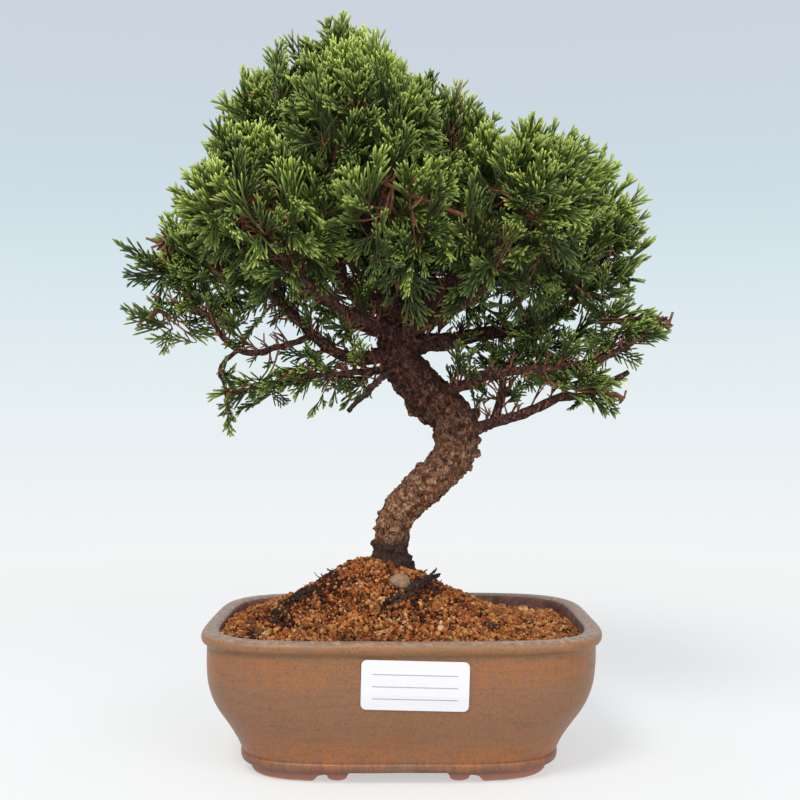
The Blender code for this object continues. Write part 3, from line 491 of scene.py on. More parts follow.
def plain_material(name, colour, roughness, metallic, grain):
    """Screen plastic and clip wire: one colour with a little scuffing."""
    made, tree, shader = make_material(name, roughness)
    shader.inputs["Metallic"].default_value = metallic
    scuff = clouds(tree, place(tree), grain, 4.0)
    paler = tuple(min(1.0, part * 1.8 + 0.02) for part in colour)
    tint = ramp(tree, scuff, ((0.35, colour), (0.75, paler)))
    tree.links.new(tint, shader.inputs["Base Color"])
    return made


# ---------------------------------------------------------------- mesh helpers
def piece_from_bmesh(name, shape, materials, smooth=True):
    mesh = bpy.data.meshes.new(name)
    shape.to_mesh(mesh)
    shape.free()
    if smooth:
        mesh.shade_smooth()
    made = bpy.data.objects.new(name, mesh)
    bpy.context.scene.collection.objects.link(made)
    for finish in materials:
        mesh.materials.append(finish)
    return made


def settled(made):
    """Apply an object's modifiers to its mesh."""
    seen = bpy.context.evaluated_depsgraph_get()
    mesh = bpy.data.meshes.new_from_object(made.evaluated_get(seen), preserve_all_data_layers=True,
                                           depsgraph=seen)
    made.modifiers.clear()
    made.data = mesh
    return made


def hand_over(piece, slot, *nodes):
    """Every finished piece rides on the one body and stands for its CAD nodes; the slot is not used."""
    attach(piece, "root")
    if nodes:
        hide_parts(*nodes)
    return piece


def remove(made):
    bpy.data.objects.remove(made)


def smooth_path(points, steps):
    """Catmull-Rom points through the given ones, with their radii."""
    points = [Vector(point) for point in points]
    result = [points[0]]
    for i in range(len(points) - 1):
        before, start = points[max(i - 1, 0)], points[i]
        end, after = points[i + 1], points[min(i + 2, len(points) - 1)]
        for step in range(1, steps + 1):
            t = step / steps
            result.append(0.5 * (2 * start + (end - before) * t
                                 + (2 * before - 5 * start + 4 * end - after) * t ** 2
                                 + (3 * start - before - 3 * end + after) * t ** 3))
    return result


def tubes(name, routes, resolution):
    """One mesh of closed tubes; a route is a list of (place, radius)."""
    curve = bpy.data.curves.new(name, "CURVE")
    curve.dimensions = "3D"
    curve.bevel_depth = 1.0
    curve.bevel_resolution = resolution
    curve.use_fill_caps = True
    for route in routes:
        spline = curve.splines.new("POLY")
        spline.points.add(len(route) - 1)
        for point, (where, radius) in zip(spline.points, route):
            point.co = (*where, 1.0)
            point.radius = radius
        spline.use_smooth = True
    drawn = bpy.data.objects.new(name, curve)
    bpy.context.scene.collection.objects.link(drawn)
    bpy.context.view_layer.update()
    seen = bpy.context.evaluated_depsgraph_get()
    mesh = bpy.data.meshes.new_from_object(drawn.evaluated_get(seen))
    remove(drawn)
    shape = bmesh.new()
    shape.from_mesh(mesh)
    bpy.data.meshes.remove(mesh)
    bmesh.ops.remove_doubles(shape, verts=shape.verts, dist=0.005 * MM)
    return shape


def jitter(amount):
    """A small random shift."""
    return Vector((chance.gauss(0, amount), chance.gauss(0, amount), chance.gauss(0, amount)))


def route_in_frame(points, steps):
    """A route of (x, y, height above the rim, radius) in mm as places and radii in the frame."""
    return [(spot(x, y, up), radius * MM) for x, y, up, radius in smooth_path(points, steps)]


# ---------------------------------------------------------------- scattering many small shapes
def scatter_group(kinds):
    """Geometry nodes: put one of the kinds at each point, turned, sized, toned and aged as the point says."""
    group = bpy.data.node_groups.new("scatter", "GeometryNodeTree")
    group.interface.new_socket("Geometry", in_out="INPUT", socket_type="NodeSocketGeometry")
    group.interface.new_socket("Geometry", in_out="OUTPUT", socket_type="NodeSocketGeometry")
    link = group.links.new

    def named(attribute, kind="FLOAT"):
        added = group.nodes.new("GeometryNodeInputNamedAttribute")
        added.data_type = kind
        added.inputs["Name"].default_value = attribute
        return added.outputs["Attribute"]

    def maths(operation, *values):
        added = group.nodes.new("ShaderNodeMath")
        added.operation = operation
        for socket, value in zip(added.inputs, values):
            if isinstance(value, float):
                socket.default_value = value
            else:
                link(value, socket)
        return added.outputs[0]

    start = group.nodes.new("NodeGroupInput")
    end = group.nodes.new("NodeGroupOutput")
    stock = group.nodes.new("GeometryNodeCollectionInfo")
    stock.inputs["Collection"].default_value = kinds
    stock.inputs["Separate Children"].default_value = True
    stock.inputs["Reset Children"].default_value = True
    at_points = group.nodes.new("GeometryNodeInstanceOnPoints")
    at_points.inputs["Pick Instance"].default_value = True
    solid = group.nodes.new("GeometryNodeRealizeInstances")
    write = group.nodes.new("GeometryNodeStoreNamedAttribute")
    write.data_type = "FLOAT2"
    write.domain = "CORNER"
    write.inputs["Name"].default_value = "OFBake"
    grown = maths("SUBTRACT", named("young"), named("old"))
    age = maths("MULTIPLY_ADD", grown, named("age"), named("old"))
    across = maths("MULTIPLY_ADD", named("side"), 0.03, maths("MULTIPLY_ADD", named("tone"), 0.93, 0.02))
    pair = group.nodes.new("ShaderNodeCombineXYZ")
    link(across, pair.inputs["X"])
    link(maths("MULTIPLY_ADD", age, 0.96, 0.02), pair.inputs["Y"])
    link(start.outputs[0], at_points.inputs["Points"])
    link(stock.outputs[0], at_points.inputs["Instance"])
    link(named("kind", "INT"), at_points.inputs["Instance Index"])
    link(named("turn", "FLOAT_VECTOR"), at_points.inputs["Rotation"])
    link(named("size", "FLOAT_VECTOR"), at_points.inputs["Scale"])
    link(at_points.outputs[0], solid.inputs[0])
    link(solid.outputs[0], write.inputs["Geometry"])
    link(pair.outputs[0], [socket for socket in write.inputs if socket.name == "Value"][0])
    link(write.outputs[0], end.inputs[0])
    return group


def scatter(name, group, marks, finish):
    """One mesh with a shape at each mark; a mark is place, turn, size, tone, kind, old and young."""
    mesh = bpy.data.meshes.new(name + "_marks")
    mesh.from_pydata([mark[0] for mark in marks], [], [])
    columns = (("turn", "FLOAT_VECTOR", "vector", 1), ("size", "FLOAT_VECTOR", "vector", 2),
               ("tone", "FLOAT", "value", 3), ("kind", "INT", "value", 4),
               ("old", "FLOAT", "value", 5), ("young", "FLOAT", "value", 6))
    for title, kind, field, column in columns:
        values = [mark[column] for mark in marks]
        if field == "vector":
            values = [part for value in values for part in value]
        mesh.attributes.new(title, kind, "POINT").data.foreach_set(field, values)
    made = bpy.data.objects.new(name, mesh)
    bpy.context.scene.collection.objects.link(made)
    made.modifiers.new("scatter", "NODES").node_group = group
    bpy.context.view_layer.update()
    settled(made)
    for title in ("turn", "size", "tone", "kind", "old", "young", "age", "side"):
        if title in made.data.attributes:
            made.data.attributes.remove(made.data.attributes[title])
    made.data.materials.clear()
    made.data.materials.append(finish)
    return made


def kinds_collection(title, shapes, smooth):
    """Keep the shapes that a scatter picks from in a collection of their own."""
    group = bpy.data.collections.new(title)
    bpy.context.scene.collection.children.link(group)
    for index, shape in enumerate(shapes):
        mesh = bpy.data.meshes.new(f"{title}_{index:02d}")
        shape.to_mesh(mesh)
        shape.free()
        if smooth:
            mesh.shade_smooth()
        group.objects.link(bpy.data.objects.new(mesh.name, mesh))
    return group


def drop_collection(group):
    for made in list(group.objects):
        remove(made)
    bpy.data.collections.remove(group)


# ---------------------------------------------------------------- the pot
def body_bottom():
    return FOOT_HEIGHT + BASE_BAND


def body_top():
    return POT_HEIGHT - LIP_HEIGHT


def swell_at(share):
    """Smooth reading of the body's side between the points of SWELL."""
    share = min(max(share, 0.0), 1.0)
    for i in range(len(SWELL) - 1):
        (h0, s0), (h1, s1) = SWELL[i], SWELL[i + 1]
        if h0 <= share <= h1:
            before = SWELL[max(i - 1, 0)]
            after = SWELL[min(i + 2, len(SWELL) - 1)]
            t = (share - h0) / (h1 - h0)
            slope0 = (s1 - before[1]) / (h1 - before[0]) * (h1 - h0)
            slope1 = (after[1] - s0) / (after[0] - h0) * (h1 - h0)
            return ((2 * t ** 3 - 3 * t ** 2 + 1) * s0 + (t ** 3 - 2 * t ** 2 + t) * slope0
                    + (3 * t ** 2 - 2 * t ** 3) * s1 + (t ** 3 - t ** 2) * slope1)
    return 1.0


def outer_half(height):
    swell = swell_at((height - body_bottom()) / (body_top() - body_bottom()))
    length = BASE_LENGTH / 2 + (RIM_LENGTH / 2 - LIP_OVERHANG - BASE_LENGTH / 2) * swell
    depth = BASE_DEPTH / 2 + (RIM_DEPTH / 2 - LIP_OVERHANG - BASE_DEPTH / 2) * swell
    return length, depth


def outline_start(shape):
    """A ring of points on the unit outline, a rounded rectangle with slightly bowed sides."""
    ring = bmesh.ops.create_circle(shape, cap_ends=False, segments=OUTLINE_POINTS, radius=1.0)["verts"]
    for vert in ring:
        c, s = vert.co.x, vert.co.y
        vert.co *= (abs(c) ** CORNER_POWER + abs(s) ** CORNER_POWER) ** (-1 / CORNER_POWER)
    return ring, list(dict.fromkeys(edge for vert in ring for edge in vert.link_edges))


def wall_up(shape, rings, close_first=True, close_last=True):
    """Extrude the unit outline through rings of (half length, half depth, height, material)."""
    verts, edges = outline_start(shape)
    length, depth, height, _ = rings[0]
    bmesh.ops.scale(shape, vec=(length, depth, 1), verts=verts)
    bmesh.ops.translate(shape, vec=(0, 0, height), verts=verts)
    first = edges
    for next_length, next_depth, next_height, finish in rings[1:]:
        grown = bmesh.ops.extrude_edge_only(shape, edges=edges)["geom"]
        verts = [item for item in grown if isinstance(item, bmesh.types.BMVert)]
        edges = [item for item in grown if isinstance(item, bmesh.types.BMEdge)]
        for item in grown:
            if isinstance(item, bmesh.types.BMFace):
                item.material_index = finish
        fresh = set(verts)
        edges = [edge for edge in edges if fresh.issuperset(edge.verts)]
        bmesh.ops.scale(shape, vec=(next_length / length, next_depth / depth, 1), verts=verts)
        bmesh.ops.translate(shape, vec=(0, 0, next_height - height), verts=verts)
        length, depth, height = next_length, next_depth, next_height
    if close_first:
        bmesh.ops.edgeloop_fill(shape, edges=first)
    if close_last:
        filled = bmesh.ops.edgeloop_fill(shape, edges=edges)
        for face in filled["faces"]:
            face.material_index = rings[-1][3]
    return first, edges


def pot_rings():
    """From the underside, up the outside, over the rounded lip and down to the inner floor."""
    base_length, base_depth = BASE_LENGTH / 2, BASE_DEPTH / 2
    rim_length, rim_depth = RIM_LENGTH / 2, RIM_DEPTH / 2
    floor_top = FOOT_HEIGHT + FLOOR
    rings = []

    def ring(length, depth, inset, height, finish=0):
        rings.append((length - inset, depth - inset, height, finish))

    for inset, height in ((7.0, 0.0), (0.9, 0.0), (0.35, 0.15), (-0.1, 0.6), (-0.35, 1.3), (-0.45, 2.2),
                          (-0.4, 3.0), (-0.15, 3.6), (0.25, 3.95)):
        ring(base_length, base_depth, inset, FOOT_HEIGHT + height)
    for i in range(SIDE_STEPS + 1):
        height = body_bottom() + (body_top() - body_bottom() - 0.5) * i / SIDE_STEPS
        ring(*outer_half(height), 0.0 if i else 0.1, height)
    over = LIP_OVERHANG
    for inset, height in ((over + 0.05, 0.0), (over - 0.2, 0.6), (over - 0.65, 1.15), (over - 1.3, 1.65),
                          (over - 1.9, 2.15), (0.3, 2.75), (0.08, 3.4), (0.0, 4.2), (0.12, 5.0), (0.5, 5.7),
                          (1.1, 6.25), (2.0, 6.6), (3.0, 6.7),
                          (over + WALL - 2.4, 6.68), (over + WALL - 1.3, 6.4), (over + WALL - 0.6, 5.8)):
        ring(rim_length, rim_depth, inset, body_top() + height)
    for i in range(INSIDE_STEPS + 1):
        height = body_top() + 4.4 - (body_top() + 1.4 - floor_top - 3) * i / INSIDE_STEPS
        length, depth = outer_half(min(height, body_top()))
        ring(length - WALL, depth - WALL, 0.0, height, 1)
    length, depth = outer_half(floor_top)
    for inset, height in ((0.6, 1.2), (1.6, 0.4), (3.0, 0.0)):
        ring(length - WALL, depth - WALL, inset, floor_top + height, 1)
    return rings


def hand_made(shape, amount_mm):
    """Small slow unevenness, as a pressed clay pot has."""
    for vert in shape.verts:
        spin = Vector((vert.co.x, vert.co.y, 0.0))
        if spin.length > 20:
            push = noise.noise(vert.co / 31.0) + 0.4 * noise.noise(vert.co / 11.0 + Vector((5, 3, 1)))
            vert.co += spin.normalized() * push * amount_mm


def to_frame(shape):
    """From millimetres about the pot's middle to the frame, with the slight lean of a pressed pot."""
    for vert in shape.verts:
        vert.co.x -= POT_LEAN * (1 - vert.co.z * MM / RIM)
    bmesh.ops.scale(shape, vec=(MM, MM, MM), verts=shape.verts)
    bmesh.ops.translate(shape, vec=(POT_MIDDLE.x, POT_MIDDLE.y, 0), verts=shape.verts)


def cutter(name, shape):
    made = piece_from_bmesh(name, shape, ())
    made.hide_render = True
    return made


def cut_by(target, tools):
    """Cut the tools out of the target and remove them."""
    for tool in tools:
        step = target.modifiers.new(tool.name, "BOOLEAN")
        step.operation = "DIFFERENCE"
        step.object = tool
        step.solver = "EXACT"
    bpy.context.view_layer.update()
    settled(target)
    for tool in tools:
        remove(tool)


def make_pot(glaze, inside, bare):
    """The glazed shell with its two drain holes, and the bare feet."""
    shape = bmesh.new()
    wall_up(shape, pot_rings())
    bmesh.ops.recalc_face_normals(shape, faces=shape.faces)
    hand_made(shape, UNEVENNESS)
    to_frame(shape)
    pot = piece_from_bmesh("pot_body", shape, (glaze, inside))
    holes = []
    for side in (-1, 1):
        shape = bmesh.new()
        bmesh.ops.create_cone(shape, cap_ends=True, segments=40, radius1=DRAIN_RADIUS, radius2=DRAIN_RADIUS,
                              depth=4 * FLOOR)
        bmesh.ops.translate(shape, vec=(side * DRAIN_SPACING / 2, 0, FOOT_HEIGHT + FLOOR), verts=shape.verts)
        to_frame(shape)
        holes.append(cutter("drain_cut", shape))
    cut_by(pot, holes)
    pot.data.set_sharp_from_angle(angle=math.radians(50))
    hand_over(pot, "pot_glaze", "pot")
    feet = make_feet(bare)
    hand_over(feet, "pot_glaze", "pot")


def scroll_outline(arch):
    """The opening between two feet: a flat arch, a small round lobe, a shallow notch, then the foot."""
    half = arch / 2
    points = [(half - 2.0, FOOT_HEIGHT + 1.2), (half - 1.2, FOOT_HEIGHT - 0.5),
              (half + 0.4, FOOT_HEIGHT - 1.0)]
    lobe_steps, notch_steps = 8, 6
    for i in range(lobe_steps + 1):
        turn = math.pi * i / lobe_steps
        points.append((half + 5.6 - 4.4 * math.cos(turn), 3.2 - 2.3 * math.sin(turn) ** 0.8))
    for i in range(1, notch_steps + 1):
        turn = math.pi * i / notch_steps
        points.append((half + 12.2 - 2.2 * math.cos(turn),
                       3.2 - 0.35 * (1 - math.cos(turn)) + 0.5 * math.sin(turn)))
    points += [(half + 15.2, 1.5), (half + 16.0, 0.7), (half + 16.9, 0.25), (half + 17.4, -1.0)]
    return points + [(-x, z) for x, z in reversed(points)]


def make_feet(bare):
    """A low ring under the pot, cut from front to back and from side to side into four feet."""
    outer_length = BASE_LENGTH / 2 - FOOT_SETBACK + 0.6
    outer_depth = BASE_DEPTH / 2 - FOOT_SETBACK + 0.6
    rings = []
    for inset, height in ((FOOT_WIDTH, FOOT_HEIGHT + 0.4), (FOOT_WIDTH - 0.3, 0.6), (FOOT_WIDTH - 1.0, 0.0),
                          (2.0, 0.0), (1.3, 0.25), (0.9, 0.9), (0.5, 2.6), (0.1, 4.4),
                          (0.0, FOOT_HEIGHT + 0.4)):
        rings.append((outer_length - inset, outer_depth - inset, height, 0))
    shape = bmesh.new()
    first, last = wall_up(shape, rings, False, False)
    bmesh.ops.bridge_loops(shape, edges=first + last)
    bmesh.ops.recalc_face_normals(shape, faces=shape.faces)
    to_frame(shape)
    feet = piece_from_bmesh("pot_feet", shape, (bare,))
    tools = []
    for name, arch, turned in (("front_scroll", FRONT_ARCH, False), ("side_scroll", SIDE_ARCH, True)):
        shape = bmesh.new()
        face = shape.faces.new([shape.verts.new((x, -BASE_LENGTH, z)) for x, z in scroll_outline(arch)])
        pushed = bmesh.ops.extrude_face_region(shape, geom=[face])["geom"]
        moved = [item for item in pushed if isinstance(item, bmesh.types.BMVert)]
        bmesh.ops.translate(shape, vec=(0, 2 * BASE_LENGTH, 0), verts=moved)
        bmesh.ops.recalc_face_normals(shape, faces=shape.faces)
        if turned:
            bmesh.ops.rotate(shape, cent=(0, 0, 0), matrix=Matrix.Rotation(math.pi / 2, 3, "Z"),
                             verts=shape.verts)
        to_frame(shape)
        tools.append(cutter(name, shape))
    cut_by(feet, tools)
    feet.data.set_sharp_from_angle(angle=math.radians(35))
    return feet


# ---------------------------------------------------------------- soil, stones and dead roots
SOIL_EDGE = 12
BED_SINK = 0.7
GRAIN_STEP = 1.5
ROW_SHARE = 0.87
GRAIN_KINDS = 8
LUMP_KINDS = 6
LUMPS = 95
PALE_STONES = 9
MOUND_SPLIT = 0.0


def surface_of(name):
    """A CAD node's surface, for finding places on it."""
    node = frame["nodes"][name]
    shape = bmesh.new()
    shape.from_mesh(node.data)
    bmesh.ops.transform(shape, matrix=node.matrix_world, verts=shape.verts)
    found = BVHTree.FromBMesh(shape)
    shape.free()
    return found


def settle_depth(x, y):
    """How far the loose grains have slid down off the mound's flanks and away from the wall, in mm."""
    def hollow(middle_x, middle_y, wide, deep):
        return deep * math.exp(-(((x - middle_x) / wide[0]) ** 2 + ((y - middle_y) / wide[1]) ** 2))
    return (hollow(-46, 4, (17, 30), 4.2) + hollow(16, 2, (9, 24), 2.4)
            + hollow(-84, 8, (12, 50), 2.0) + hollow(-40, 60, (40, 14), 2.2))


def on_soil(surface, x, y):
    """Where a grain dropped at x, y would lie, and the slope there; None off the soil."""
    hit, normal, _, _ = surface.ray_cast(spot(x, y, 60), Vector((0, 0, -1)))
    if hit is None or normal.z < 0.3 or hit.z < RIM - SOIL_EDGE * MM:
        return None
    return hit - Vector((0, 0, settle_depth(x, y) * MM)), normal


def make_soil_bed(finish):
    """The packed soil under the loose grains."""
    node = frame["nodes"]["soil"]
    shape = bmesh.new()
    shape.from_mesh(node.data)
    bmesh.ops.transform(shape, matrix=node.matrix_world, verts=shape.verts)
    bmesh.ops.remove_doubles(shape, verts=shape.verts, dist=0.002 * MM)
    bmesh.ops.subdivide_edges(shape, edges=[edge for edge in shape.edges if edge.calc_length() > 5 * MM],
                              cuts=1, use_grid_fill=True)
    for vert in shape.verts:
        if vert.co.z > RIM - SOIL_EDGE * MM:
            x, y = (vert.co.x - POT_MIDDLE.x) / MM, (vert.co.y - POT_MIDDLE.y) / MM
            vert.co.z -= (settle_depth(x, y) + BED_SINK) * MM
    made = piece_from_bmesh("soil_bed", shape, (finish,), smooth=False)
    return hand_over(made, "soil", "soil")


def crumb_kinds(count, detail, rough):
    """Angular crumbs of fired clay, each a ball with a few flattened sides."""
    dice = random.Random(5)
    shapes = []
    for _ in range(count):
        shape = bmesh.new()
        age = shape.verts.layers.float.new("age")
        side = shape.verts.layers.float.new("side")
        bmesh.ops.create_icosphere(shape, subdivisions=detail, radius=1.0)
        stretch = Vector((dice.uniform(0.8, 1.25), dice.uniform(0.8, 1.2), dice.uniform(0.65, 0.95)))
        for index, vert in enumerate(shape.verts):
            # The age layer holds the height in the crumb; soil_material darkens the low side with it, painted
            # shade.
            vert[age] = 0.5 + 0.5 * vert.co.z
            vert[side] = (index * 0.37) % 1.0
            bite = 1.0 + rough * (dice.random() - 0.5)
            vert.co = Vector(vert.co[i] * stretch[i] * bite for i in range(3))
        shapes.append(shape)
    return shapes


# x, y, radius in mm, share of dark bits: rotted roots and bark among the grains
DARK_CLUMPS = ((-38, -6, 10, 0.75), (-46, -14, 9, 0.7), (-33, -20, 7, 0.5), (-53, -34, 6, 0.7),
               (-60, -24, 6, 0.4), (4, -24, 8, 0.7), (12, -14, 6, 0.6), (-6, -36, 5, 0.5), (-66, -40, 4, 0.6),
               (14, 4, 6, 0.4), (-20, 20, 9, 0.4), (30, 34, 8, 0.3), (60, -10, 5, 0.25), (40, -30, 4, 0.35))


def grain_tone(x, y):
    """Grains are rust and ochre, with darker, wetter patches and a pale one now and then."""
    for middle_x, middle_y, radius, share in DARK_CLUMPS:
        if math.hypot(x - middle_x, (y - middle_y) * 0.8) < radius * chance.uniform(0.5, 1.1):
            if chance.random() < share:
                return chance.uniform(0.0, 0.13)
    patch = noise.noise(Vector((x, y, 3.0)) / 17.0) * 0.5 + noise.noise(Vector((x, y, 9.0)) / 6.0) * 0.5
    tone = chance.gauss(0.54, 0.18) + 0.30 * patch
    if chance.random() < 0.09 - 0.12 * patch:
        tone = chance.uniform(0.0, 0.16)
    if chance.random() < 0.02:
        tone = chance.uniform(0.80, 0.90)
    return min(max(tone, 0.0), 1.0)


def grain_mark(place, size, tone, kinds):
    turn = (chance.uniform(0, 6.28), chance.uniform(0, 6.28), chance.uniform(0, 6.28))
    return place, turn, (size, size, size), tone, chance.randrange(kinds), 0.0, 1.0


def make_grains(finish):
    """The loose grains, row by row, in a left and a right piece."""
    surface = surface_of("soil")
    trunk = surface_of("trunk")
    kinds = kinds_collection("crumbs", crumb_kinds(GRAIN_KINDS, 1, 0.42), False)
    group = scatter_group(kinds)
    halves = {"left": [], "right": []}
    rows = int(RIM_DEPTH / (GRAIN_STEP * ROW_SHARE))
    for row in range(rows):
        for column in range(int(RIM_LENGTH / GRAIN_STEP)):
            x = -RIM_LENGTH / 2 + GRAIN_STEP * (column + 0.5 * (row % 2)) + chance.uniform(-0.5, 0.5)
            y = -RIM_DEPTH / 2 + GRAIN_STEP * ROW_SHARE * row + chance.uniform(-0.5, 0.5)
            found = on_soil(surface, x, y)
            if found is None:
                continue
            hit, normal = found
            size = min(max(chance.lognormvariate(-0.06, 0.26), 0.5), 1.75) * MM
            if trunk.find_nearest(hit)[3] < size * 0.3:
                continue
            lift = chance.uniform(-0.2, 0.55) * size
            side = "left" if x < MOUND_SPLIT else "right"
            halves[side].append(grain_mark(hit + normal * lift, size, grain_tone(x, y), GRAIN_KINDS))
    for side, marks in halves.items():
        made = scatter("soil_grains_" + side, group, marks, finish)
        hand_over(made, "soil", "soil")
    drop_collection(kinds)
    make_big_grains(surface, trunk, finish)


def make_big_grains(surface, trunk, finish):
    """Larger lumps among the grains, and a few pale stones on the right."""
    kinds = kinds_collection("lumps", crumb_kinds(LUMP_KINDS, 2, 0.22), False)
    group = scatter_group(kinds)
    marks = []
    while len(marks) < LUMPS:
        x = chance.uniform(-RIM_LENGTH / 2, RIM_LENGTH / 2)
        y = chance.uniform(-RIM_DEPTH / 2, RIM_DEPTH / 2)
        found = on_soil(surface, x, y)
        if found is None:
            continue
        size = chance.uniform(1.1, 1.75) * MM
        if trunk.find_nearest(found[0])[3] < size:
            continue
        marks.append(grain_mark(found[0] + found[1] * 0.25 * size, size,
                                min(0.80, grain_tone(x, y) + 0.02), LUMP_KINDS))
    for _ in range(PALE_STONES):
        x, y = 64 + chance.uniform(-7, 8), 34 + chance.uniform(-6, 6)
        found = on_soil(surface, x, y)
        if found:
            marks.append(grain_mark(found[0] + found[1] * MM, chance.uniform(1.6, 2.4) * MM,
                                    chance.uniform(0.88, 0.96), LUMP_KINDS))
    made = scatter("soil_lumps", group, marks, finish)
    hand_over(made, "soil", "soil")
    drop_collection(kinds)


def make_fibres(finish):
    """Thin dark root hairs that stick out of the dark clumps."""
    surface = surface_of("soil")
    routes = []
    for middle_x, middle_y, radius, share in DARK_CLUMPS:
        for _ in range(int(radius * share * 9)):
            turn, off = chance.uniform(0, 6.28), radius * math.sqrt(chance.random())
            found = on_soil(surface, middle_x + off * math.cos(turn), middle_y + off * math.sin(turn))
            if found is None:
                continue
            place = found[0] + found[1] * chance.uniform(0.2, 1.2) * MM
            way = (found[1] * chance.uniform(-0.1, 0.3) + jitter(0.7)).normalized()
            thick = chance.uniform(0.2, 0.48)
            route = [(place, thick * MM)]
            for step in range(chance.randrange(3, 7)):
                way = (way + jitter(0.45) - Vector((0, 0, 0.12))).normalized()
                place = place + way * chance.uniform(0.5, 1.05) * MM
                route.append((place, thick * (0.9 - 0.1 * step) * MM))
            routes.append(route)
    made = piece_from_bmesh("soil_fibres", tubes("fibres", routes, 0), (finish,))
    hand_over(made, "dead_wood")


def make_pebble(finish):
    """One worn stone on the soil in front of the trunk."""
    low, high = (Vector(corner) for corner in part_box("pebble"))
    middle, reach = (low + high) / 2, (high - low) / 2
    shape = bmesh.new()
    bmesh.ops.create_icosphere(shape, subdivisions=5, radius=1.0)
    for vert in shape.verts:
        way = vert.co.copy()
        bulge = 1.0 + 0.16 * noise.noise(way * 1.4) + 0.07 * noise.noise(way * 4.0)
        bulge += 0.03 * noise.noise(way * 11.0)
        vert.co = Vector(way[i] * reach[i] * bulge * (1.06, 1.06, 1.3)[i] for i in range(3)) + middle
        vert.co.z -= (settle_depth(5, -22) + BED_SINK) * MM
    made = piece_from_bmesh("pebble_stone", shape, (finish,))
    hand_over(made, "pebble", "pebble")


def make_dead_roots(finish):
    """Dark fibrous old roots that lie on the soil: a thick strand with finer ones round it."""
    surface = surface_of("soil")
    for name, points in DEAD_ROOTS.items():
        ground = []
        for x, y, up in points:
            hit = surface.ray_cast(spot(x, y, 60), Vector((0, 0, -1)))[0]
            ground.append(hit + Vector((0, 0, (up - settle_depth(x, y)) * MM)))
        routes = []
        strands, spread, thickest, whole_strands = ROOT_STRANDS[name]
        for strand in range(strands):
            offset = Vector((chance.gauss(0, spread), chance.gauss(0, spread), chance.gauss(0, 0.8))) * MM
            whole = strand < whole_strands
            thick = 1.0 if whole and strand == 0 else chance.uniform(0.18, thickest)
            start = 0 if whole else chance.randrange(0, len(points) - 2)
            stop = len(points) if whole else chance.randrange(start + 2, min(len(points), start + 4) + 1)
            path = [(*(ground[i] + offset * (0.4 + 0.6 * math.sin(i * 1.7 + strand))), 1.0)
                    for i in range(start, stop)]
            fine = smooth_path(path, 5)
            last = len(fine) - 1
            route = []
            for i, point in enumerate(fine):
                taper = min(1.0, 2.6 * i / last + 0.35, 2.6 * (1 - i / last) + 0.3)
                lumpy = 1 + 0.6 * noise.noise(Vector(point[:3]) / (1.5 * MM) + offset / MM)
                route.append((point.xyz + jitter(0.28) * MM, thick * taper * lumpy * MM))
            routes.append(route)
        shape = tubes(name, routes, 1)
        made = piece_from_bmesh(name + "_strands", shape, (finish,))
        hand_over(made, "dead_wood", name)


# ---------------------------------------------------------------- trunk and limbs
def bark_moves(shape, path, amount):
    """Push the surface in and out: flakes with sharp edges along the wood, lumps and fine grit."""
    places = [point for point, _ in path]
    along = [0.0]
    for before, after in zip(places, places[1:]):
        along.append(along[-1] + (after - before).length)
    shape.normal_update()
    moves = []
    for vert in shape.verts:
        nearest = min(range(len(places)), key=lambda i: (places[i] - vert.co).length_squared)
        out = (vert.co - places[nearest]) / MM
        grain = Vector((out.x, out.y + out.z * 0.6, along[nearest] / MM * 0.5 + out.z * 0.3))
        flake = noise.noise(grain / 1.9)
        flake = math.floor(flake * 3.5) / 3.5 * 0.65 + flake * 0.35
        lump = noise.noise(vert.co / (4.6 * MM)) + 0.5 * noise.noise(vert.co / (2.4 * MM))
        gritty = noise.noise(vert.co / (0.95 * MM))
        moves.append(vert.normal * (1.0 * flake + 1.15 * lump + 0.32 * gritty) * amount * MM)
    for vert, move in zip(shape.verts, moves):
        vert.co += move


KNOBS = (
    # height above the rim, side (degrees, 0 is right, 90 is back), size
    (29, 8, 1.5), (30, 190, 1.4), (36, 178, 1.7), (45, 355, 1.4), (41, 182, 1.2), (52, 6, 1.1),
    (50, 182, 1.5), (58, 350, 1.7), (62, 346, 1.5), (66, 352, 1.8), (70, 176, 2.2), (72, 168, 1.7),
    (69, 340, 1.6), (73, 348, 2.0), (76, 356, 1.6), (79, 350, 2.0), (82, 2, 1.7), (85, 355, 1.8),
    (84, 186, 1.9), (88, 184, 1.6), (88, 5, 1.6), (92, 8, 2.0), (95, 2, 2.6), (98, 15, 2.0),
    (93, 200, 1.7), (97, 212, 2.8), (99, 218, 2.6), (101, 226, 3.0), (103, 222, 2.6), (105, 228, 2.6),
    (107, 225, 2.2), (110, 222, 2.2), (112, 216, 2.0), (104, 250, 1.8), (106, 262, 1.6), (80, 275, 1.6),
    (90, 265, 2.0), (86, 285, 1.5), (100, 280, 1.9), (112, 270, 1.9), (120, 290, 1.6), (88, 300, 1.5),
    (95, 330, 2.0), (108, 205, 1.9), (114, 200, 2.0), (120, 195, 1.8), (112, 5, 1.7), (60, 270, 1.3),
    (76, 250, 1.6), (83, 240, 1.5), (66, 285, 1.3), (91, 100, 1.8), (75, 90, 1.6), (58, 95, 1.4),
    (102, 80, 2.0), (44, 100, 1.3),
)


# dark ridge under the bend: x, y, height above the rim, radius
RIDGE = ((1.5, -3, 103.5, 0.8), (4.2, -4.6, 99.2, 2.0), (8.6, -5.2, 95.6, 2.5), (12.6, -5.2, 93.2, 2.3),
         (15.6, -5, 92.0, 1.0))


def join_tube(shape, name, route, bevel):
    """Add a tube to a mesh that is remeshed later."""
    mesh = bpy.data.meshes.new(name)
    part = tubes(name, [route], bevel)
    part.to_mesh(mesh)
    part.free()
    shape.from_mesh(mesh)
    bpy.data.meshes.remove(mesh)


